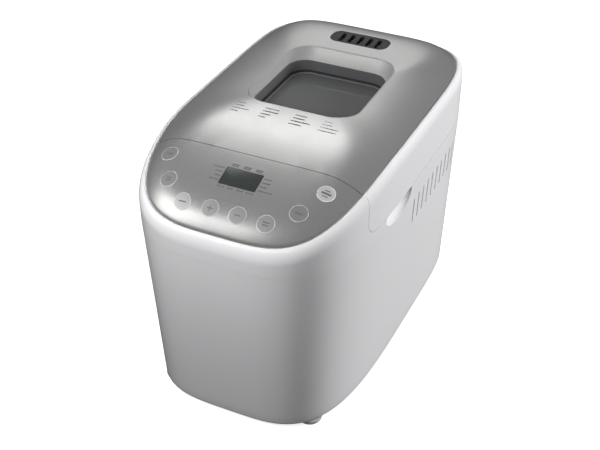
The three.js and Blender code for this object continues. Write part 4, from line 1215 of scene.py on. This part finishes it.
for band_name, profile, finish in (
    ("window_gasket", GASKET_PROFILE, "rubber"),
    # The sleeve's dark grey is painted shade, darkening the frame's inner wall.
    ("window_shade_sleeve", SHADE_SLEEVE_PROFILE, "grey_rubber"),
    ("window_gasket_foot", GASKET_FOOT_PROFILE, "gasket_edge"),
):
    window_band(band_name, [lip_ring(reach, z) for reach, z in profile], finish)

# %% [markdown]
# The outer pane lies on the frame's seat and the inner pane in the lid's liner. Both have a small
# ground edge.

# %% Panes
GROUND_EDGE = 0.0006


def pane(name, grow, node):
    low, high = (corner.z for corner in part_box(node))
    edge = GROUND_EDGE
    steps = ((edge, low), (0, low + edge), (0, high - edge), (edge, high))
    rings = [window_ring(-grow + inset, -grow + inset, z) for inset, z in steps]
    adopt(crisp(new_piece(name, outward(loft_mesh(name, rings))), 30), "window_glass", "lid", node)


pane("outer_pane", -GAP, "window_glass")
pane("inner_pane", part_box("inner_window_glass")[1].x - WINDOW_HALF, "inner_window_glass")

# %% [markdown]
# ## Vent grille
# Steam leaves through five round-ended slots in a dark insert behind the window. The insert follows
# the crown of the lid.

# %% Vent grille
GRILLE_BOTTOM = 0.007
GRILLE_HEART = -0.0105  # the innermost ring, closed by a fan
GRILLE_PROFILE = (
    (GRILLE_HEART, -GRILLE_BOTTOM), (-GAP, -GRILLE_BOTTOM), (-GAP, -0.0012),
    (-GAP - 0.0003, -0.0006), (-GAP - 0.001, -0.0004), (-0.005, -0.0007), (-0.009, -0.0010),
    (GRILLE_HEART, -0.0011),
)
SLOT_COUNT, SLOT_PITCH, SLOT_LENGTH, SLOT_WIDTH, SLOT_DEPTH = 5, 0.0115, 0.020, 0.0056, 0.06
grille_stack = [raised(grille_plan(grow, 16), over_top(rise)) for grow, rise in GRILLE_PROFILE]
grille = new_piece("steam_grille", outward(loft_mesh("steam_grille", grille_stack)))
grille_slots = row_of_slots(
    "grille_cutter", SLOT_COUNT, (-SLOT_PITCH * (SLOT_COUNT - 1) / 2, GRILLE_Y, SLOPE_Z),
    (SLOT_PITCH, 0, 0), (0, 0, QUARTER), SLOT_LENGTH, SLOT_WIDTH, SLOT_DEPTH,
    "dark_plastic",
)
carve(grille, grille_slots)
adopt(crisp(grille), "dark_plastic", "lid", "vent_grille")

# %% [markdown]
# ## Keys and display
# Each key is a round film key with a fine raised ring round it. The profile is turned about an
# upright axis and then stood on the panel, square to its surface.

# %% Keys
KEY_CAP = BUTTON_RADIUS + 0.00025  # nearly fills its hole, so no dark gap shows
KEY_RING = 0.0009


KEY_TOP = 0.0001
KEY_PROFILE = [
    (0.0002, -0.0018), (KEY_CAP - 0.0002, -0.0018), (KEY_CAP, -0.0016), (KEY_CAP, -0.0001),
    (KEY_CAP - 0.0001, 0.00004), (KEY_CAP - 0.0003, KEY_TOP), (KEY_CAP - 0.0009, KEY_TOP),
    (KEY_CAP - KEY_RING + 0.00005, 0.00004), (KEY_CAP - KEY_RING, 0.0), (KEY_CAP - 0.0016, 0.00002),
    (KEY_CAP - 0.0026, 0.00006), (0.004, 0.00008), (0.0002, KEY_TOP),
]

for key_name, place in BUTTONS.items():
    mesh = turned_mesh(key_name + "_cap", KEY_PROFILE, 96)
    ring_share = mesh.attributes.new("ring", "FLOAT", "POINT")
    for vertex in mesh.vertices:
        reach = math.hypot(vertex.co.x, vertex.co.y)
        ring_share.data[vertex.index].value = 1.0 if reach > KEY_CAP - KEY_RING + 0.00001 else 0.0
    mesh.transform(panel_place(*place))
    cap = new_piece(key_name + "_cap", mesh)
    look = "start_key" if key_name == "start_stop_button" else "key_film"
    adopt(crisp(cap, 30), look, key_name, key_name)

# %% [markdown]
# The display's cover is a plain pane with eased edges, set a little below the silver.

# %% Display
wide, deep = DISPLAY_HALF
cover_mesh = prism("display_cover", rounded(-wide, wide, -deep, deep, 0.0009, 6), -0.0016, -0.0002, 2)
cover_mesh.transform(panel_place(0, DISPLAY_Y))
cover = new_piece("display_cover", cover_mesh)
soften = cover.modifiers.new("ease", "BEVEL")
soften.width = 0.00025
soften.segments = 2
soften.limit_method = "ANGLE"
adopt(crisp(solid_of(cover), 30), "display", "body", "display_window")

# %% [markdown]
# ## Printed marks
# The real machine has small words and signs printed on its silver top. Here they are plain dashes
# of the same size, with a plus and a minus, which mean nothing but give the panel its scale. Each
# dash is a very thin slab that follows the crown, so it can't sink into the surface.

# %% Dashes on the silver top
INK_RISE = 0.00005
INK_DEPTH = 0.0001


def dash_parts(dashes, steps=6):
    """Points and faces of thin slabs; a dash is (middle x, middle y, length, height)."""
    points, faces = [], []
    for middle_x, middle_y, length, tall in dashes:
        start = len(points)
        for x in np.linspace(middle_x - length / 2, middle_x + length / 2, steps):
            for y in (middle_y - tall / 2, middle_y + tall / 2):
                z = float(top_height(x, y))
                points += [(x, y, z - INK_DEPTH), (x, y, z + INK_RISE)]
        for i in range(steps - 1):
            a, b = start + 4 * i, start + 4 * (i + 1)
            faces += [(a + 1, b + 1, b + 3, a + 3), (a, a + 2, b + 2, b)]
            faces += [(a, b, b + 1, a + 1), (a + 2, a + 3, b + 3, b + 2)]
        end = start + 4 * (steps - 1)
        faces += [(start, start + 1, start + 3, start + 2), (end, end + 2, end + 3, end + 1)]
    return points, faces


def printed(name, dashes, body, slot_name="ink"):
    points, faces = dash_parts(dashes)
    piece = new_piece(name, outward(mesh_from(name, points, faces)))
    return adopt(piece, slot_name, body)


def words(x, y, lengths, tall, space=0.0007):
    """A line of dashes that starts at x, one for each length."""
    line = []
    for length in lengths:
        line.append((x + length / 2, y, length, tall))
        x += length + space
    return line


# %% [markdown]
# The programme list stands in four columns on the lid, and short labels stand round the display.

# %% Programme list and labels
WORD_TALL, LABEL_TALL, HEADING_TALL = 0.0009, 0.0013, 0.0011
LABEL_PITCH = 0.0051
COLUMN_STARTS = (-0.063, -0.029, 0.007, 0.041)
LINE_YS = (-0.0375, -0.0435, -0.0495, -0.0555)
LINE_WORDS = (
    ((0.0016, 0.008), (0.0016, 0.009), (0.0016, 0.008, 0.009), (0.0016, 0.007)),
    ((0.0016, 0.007, 0.007), (0.0016, 0.008, 0.007), (0.0016, 0.009), (0.0016, 0.006)),
    ((0.0016, 0.011), (0.0026, 0.010), (0.0026, 0.008, 0.010), (0.0026, 0.011)),
    ((0.0026, 0.006), (0.0026, 0.008), (0.0026, 0.007, 0.008, 0.001), (0.0026, 0.007, 0.008, 0.001)),
)
programme_lines = []
for x, column in zip(COLUMN_STARTS, LINE_WORDS):
    for y, lengths in zip(LINE_YS, column):
        programme_lines += words(x, y, lengths, WORD_TALL)
printed("programme_list", programme_lines, "lid")

beside_display = []
for side, first_y, lengths in (
    (-1, -0.1420, (0.0125, 0.008, 0.006, 0.010)),
    (1, -0.1430, (0.009, 0.009, 0.0075, 0.0165)),
):
    for i, length in enumerate(lengths):
        y = first_y - LABEL_PITCH * i
        beside_display.append((side * (0.0228 + length / 2), y, length, LABEL_TALL))
for x in (-0.0135, 0.0, 0.0135):
    for y, length in ((-0.1345, 0.008), (-0.1366, 0.0075)):
        beside_display.append((x, y, length, HEADING_TALL))
for x, length in ((-0.0165, 0.0085), (-0.0055, 0.0065), (0.0055, 0.008), (0.0165, 0.0085)):
    beside_display.append((x, -0.1640, length, LABEL_TALL))
printed("display_labels", beside_display, "body")

# %% [markdown]
# The marks on the keys ride with the keys. Each is a small group of slabs in the key's own frame,
# stood on the panel in the same way as the key.

# %% Dashes on the keys
KEY_MARKS = {
    "menu_button": [(0, 0, 0.0085, 0.0015)],
    "start_stop_button": [
        (0, 0.0036, 0.006, 0.0012), (0, 0, 0.0105, 0.0024), (0, -0.0036, 0.006, 0.0012),
    ],
    "loaf_size_button": [(0, 0.0014, 0.0062, 0.0012), (0, -0.0014, 0.0045, 0.0012)],
    "cancel_button": [(0, 0, 0.0085, 0.0015)],
    "crust_button": [(0, 0, 0.0085, 0.0014)],
    "home_program_button": [(0, 0.0014, 0.0075, 0.0013), (0, -0.0014, 0.0068, 0.0013)],
    "plus_button": [(0, 0, 0.0064, 0.0009), (0, 0, 0.0009, 0.0064)],
    "minus_button": [(0, 0, 0.0066, 0.0009)],
}


def key_mark(key_name, dashes):
    work = bmesh.new()
    for i, (x, y, length, tall) in enumerate(dashes):
        # Each slab stands a little higher than the one before it, so that crossed ones don't flicker.
        low, high = KEY_TOP - INK_DEPTH, KEY_TOP + INK_RISE * (1 + 0.2 * i)
        made = bmesh.ops.create_cube(work, size=1)
        size = Vector((length, tall, high - low))
        for vertex in made["verts"]:
            vertex.co = Vector((x, y, (low + high) / 2)) + vertex.co * size
    mesh = bpy.data.meshes.new(key_name + "_mark")
    work.to_mesh(mesh)
    work.free()
    mesh.transform(panel_place(*BUTTONS[key_name]))
    return adopt(new_piece(key_name + "_mark", mesh), "ink", key_name)


for key_name, dashes in KEY_MARKS.items():
    key_mark(key_name, dashes)

# %% [markdown]
# Plus and minus share one long printed outline, a thin closed line with round ends.

# %% Outline round plus and minus
def pill_outline(name, places, radius, line):
    (x0, y0), (x1, y1) = places
    outer, inner = (
        arc((x1, y1), reach, -90, 90, 24) + arc((x0, y0), reach, 90, 270, 24)
        for reach in (radius, radius - line)
    )
    section = ((outer, -INK_DEPTH), (outer, INK_RISE), (inner, INK_RISE), (inner, -INK_DEPTH))
    stack = [raised(points, over_top(rise)) for points, rise in section]
    piece = new_piece(name, outward(loft_mesh(name, stack, loop=True)))
    return adopt(piece, "key_film", "body")


plus_and_minus = (BUTTONS["plus_button"], BUTTONS["minus_button"])
pill_outline("plus_minus_outline", plus_and_minus, 0.0108, 0.0004)

# %% [markdown]
# ## Feet
# Four round feet, turned from one profile.

# %% Feet
for foot_name in (f"foot_{end}_{side}" for end in ("front", "rear") for side in ("left", "right")):
    low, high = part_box(foot_name)
    radius = (high.x - low.x) / 2
    profile = [
        (0.001, 0.0004), (radius - 0.006, 0.0004), (radius - 0.005, 0.0), (radius - 0.0022, 0.0),
        (radius - 0.0009, 0.0004), (radius - 0.0002, 0.0013), (radius, 0.0024), (radius, high.z),
        (0.001, high.z),
    ]
    mesh = turned_mesh(foot_name + "_pad", profile, 64)
    mesh.transform(Matrix.Translation(((low.x + high.x) / 2, (low.y + high.y) / 2, 0)))
    adopt(crisp(new_piece(foot_name + "_pad", mesh), 40), "foot_rubber", "body", foot_name)

# %% [markdown]
# ## Working parts
# The pan, the chamber, the hinge, the drive and the other parts that only an open lid or a removed
# base shows keep the shape of their solids. A real edge is never perfectly sharp, so each is copied,
# its flat faces are merged, and a small bevel rounds its edges and catches the light.

# %% Eased edges
bodies = frame["record"]["behaviour"]["bodies"]
body_of_node = {node: body for body, members in bodies.items() for node in members}
EASE = 0.0004
WELD = 1e-6
FLAT = math.radians(1.5)
EDGE = math.radians(28)
VOLUME_SLACK = 0.04


def volume_of(mesh):
    work = bmesh.new()
    work.from_mesh(mesh)
    volume = work.calc_volume()
    work.free()
    return volume


def ease(node_name):
    """Replaces a node by its own merged and bevelled copy, unless that would change its size."""
    mesh = nodes[node_name].data.copy()
    work = bmesh.new()
    work.from_mesh(mesh)
    bmesh.ops.remove_doubles(work, verts=work.verts, dist=WELD)
    bmesh.ops.dissolve_limit(work, angle_limit=FLAT, verts=work.verts, edges=work.edges)
    work.to_mesh(mesh)
    work.free()
    before = volume_of(mesh)
    piece = new_piece(node_name + "_eased", mesh)
    bevel = piece.modifiers.new("ease", "BEVEL")
    bevel.width = EASE
    bevel.segments = 2
    bevel.limit_method = "ANGLE"
    bevel.angle_limit = EDGE
    solid_of(piece)
    change = abs(volume_of(piece.data) - before) / abs(before)
    if change > VOLUME_SLACK:
        bpy.data.objects.remove(piece)
        print(node_name, "keeps its solid, as the bevel changed it by", round(change, 3))
        return
    adopt(crisp(piece, 38), slot_of_node[node_name], body_of_node[node_name], node_name)


for node_name in sorted(set(nodes) - replaced_nodes):
    ease(node_name)

# %% [markdown]
# ## Studio
# Soft lamps stand where the silver top and the window frame mirror them, and others only light the
# white plastic: one from the right, one low in front, and one under the floor for the underside.

# %% Lamps
def area_lamp(name, place, target, size, power, glossy=True, diffuse=True):
    data = bpy.data.lights.new(name, "AREA")
    data.shape = "RECTANGLE"
    data.size, data.size_y = size
    data.energy = power
    lamp = bpy.data.objects.new(name, data)
    bpy.context.scene.collection.objects.link(lamp)
    lamp.location = place
    lamp.rotation_euler = (Vector(target) - Vector(place)).to_track_quat("-Z", "Y").to_euler()
    lamp.visible_camera = False
    lamp.visible_glossy = glossy
    lamp.visible_diffuse = diffuse
    return lamp


area_lamp("mirrored in the lid", (-0.86, 1.64, 1.92), (0, 0.03, 0.28), (1.1, 0.6), 6.0)
area_lamp(
    "mirrored in the panel", (-1.42, -1.30, 1.42), (-0.06, -0.17, 0.24), (1.5, 1.2), 13.0,
    diffuse=False,
)
frame_lamp = area_lamp(
    "mirrored in the window frame", (-0.76, -0.42, 2.08), (0, 0.11, 0.28), (0.7, 0.4), 4.0,
    diffuse=False,
)
area_lamp("right side", (1.7, 1.35, 0.68), (0.1, 0.05, 0.15), (1.2, 1.0), 62, glossy=False)
area_lamp("underside", (0, 0, -1.5), (0, 0.01, 0), (0.3, 0.3), 6.0, glossy=False)
area_lamp("front", (-0.12, -0.52, 0.62), (0, -0.2, 0.2), (0.5, 0.2), 3.0, glossy=False)

# The frame's lamp lights nothing else, so that the panel doesn't mirror it too.
lit_alone = bpy.data.collections.new("lit by the window frame lamp")
lit_alone.objects.link(window_frame)
frame_lamp.light_linking.receiver_collection = lit_alone

# %% [markdown]
# The room is dim below and brighter above for everything that it lights, and plain white where the
# camera sees it. The floor is a wide white sheet that glows a little, so it stays white round the
# machine; it sends no light up the walls, which lets them darken towards it, and it is clear from
# below, so that the underside can be seen.

# %% Room and floor
bpy.context.scene.view_settings.view_transform = "Standard"
ROOM_STOPS = ((0.0, 0.02), (0.46, 0.06), (0.56, 0.16), (0.75, 0.26), (1.0, 0.24))
FLOOR_REACH, FLOOR_GLOW = 8, 0.72


def make_room():
    world = bpy.data.worlds.new("studio")
    bpy.context.scene.world = world
    world.use_nodes = True
    room = Network(world.node_tree)
    where = room.add("ShaderNodeTexCoord", {}, {}, "Generated")
    height = room.add("ShaderNodeSeparateXYZ", {}, {"Vector": where}, "Z")
    share = room.add("ShaderNodeMapRange", {}, {"Value": height, "From Min": -1.0})
    tones = room.add("ShaderNodeValToRGB", {}, {"Fac": share})
    ramp = tones.socket.node.color_ramp
    while len(ramp.elements) < len(ROOM_STOPS):
        ramp.elements.new(0.5)
    for element, (position, tone) in zip(ramp.elements, ROOM_STOPS):
        element.position = position
        element.color = grey(tone, (1.0, 1.0, 1.02))
    seen = room.add("ShaderNodeLightPath", {}, {}, "Is Camera Ray")
    colour = room.blend(seen, tones, grey(1.0))
    room.tree.links.new(colour.socket, room.tree.nodes["Background"].inputs["Color"])


def floor_finish():
    f = Finish("floor")
    tone = f.noise(3, 3, 0.5)
    white = f.shader(
        Base_Color=f.blend(tone, grey(0.90), grey(0.93)), Roughness=f.between(tone, 0.75, 0.85),
        Emission_Color=grey(1.0), Emission_Strength=FLOOR_GLOW,
    )
    from_below = f.add("ShaderNodeNewGeometry", {}, {}, "Backfacing")
    clear = f.add("ShaderNodeBsdfTransparent", {}, {})
    return f.finished(f.add("ShaderNodeMixShader", {}, {0: from_below, 1: white, 2: clear}))


def make_floor():
    reach = FLOOR_REACH
    corners = [(-reach, -reach, 0), (reach, -reach, 0), (reach, reach, 0), (-reach, reach, 0)]
    floor = new_piece("floor", mesh_from("floor", corners, [(0, 1, 2, 3)]))
    floor.data.materials.append(floor_finish())
    floor.visible_diffuse = False
    floor.visible_glossy = False
    floor.visible_shadow = False


make_room()
make_floor()
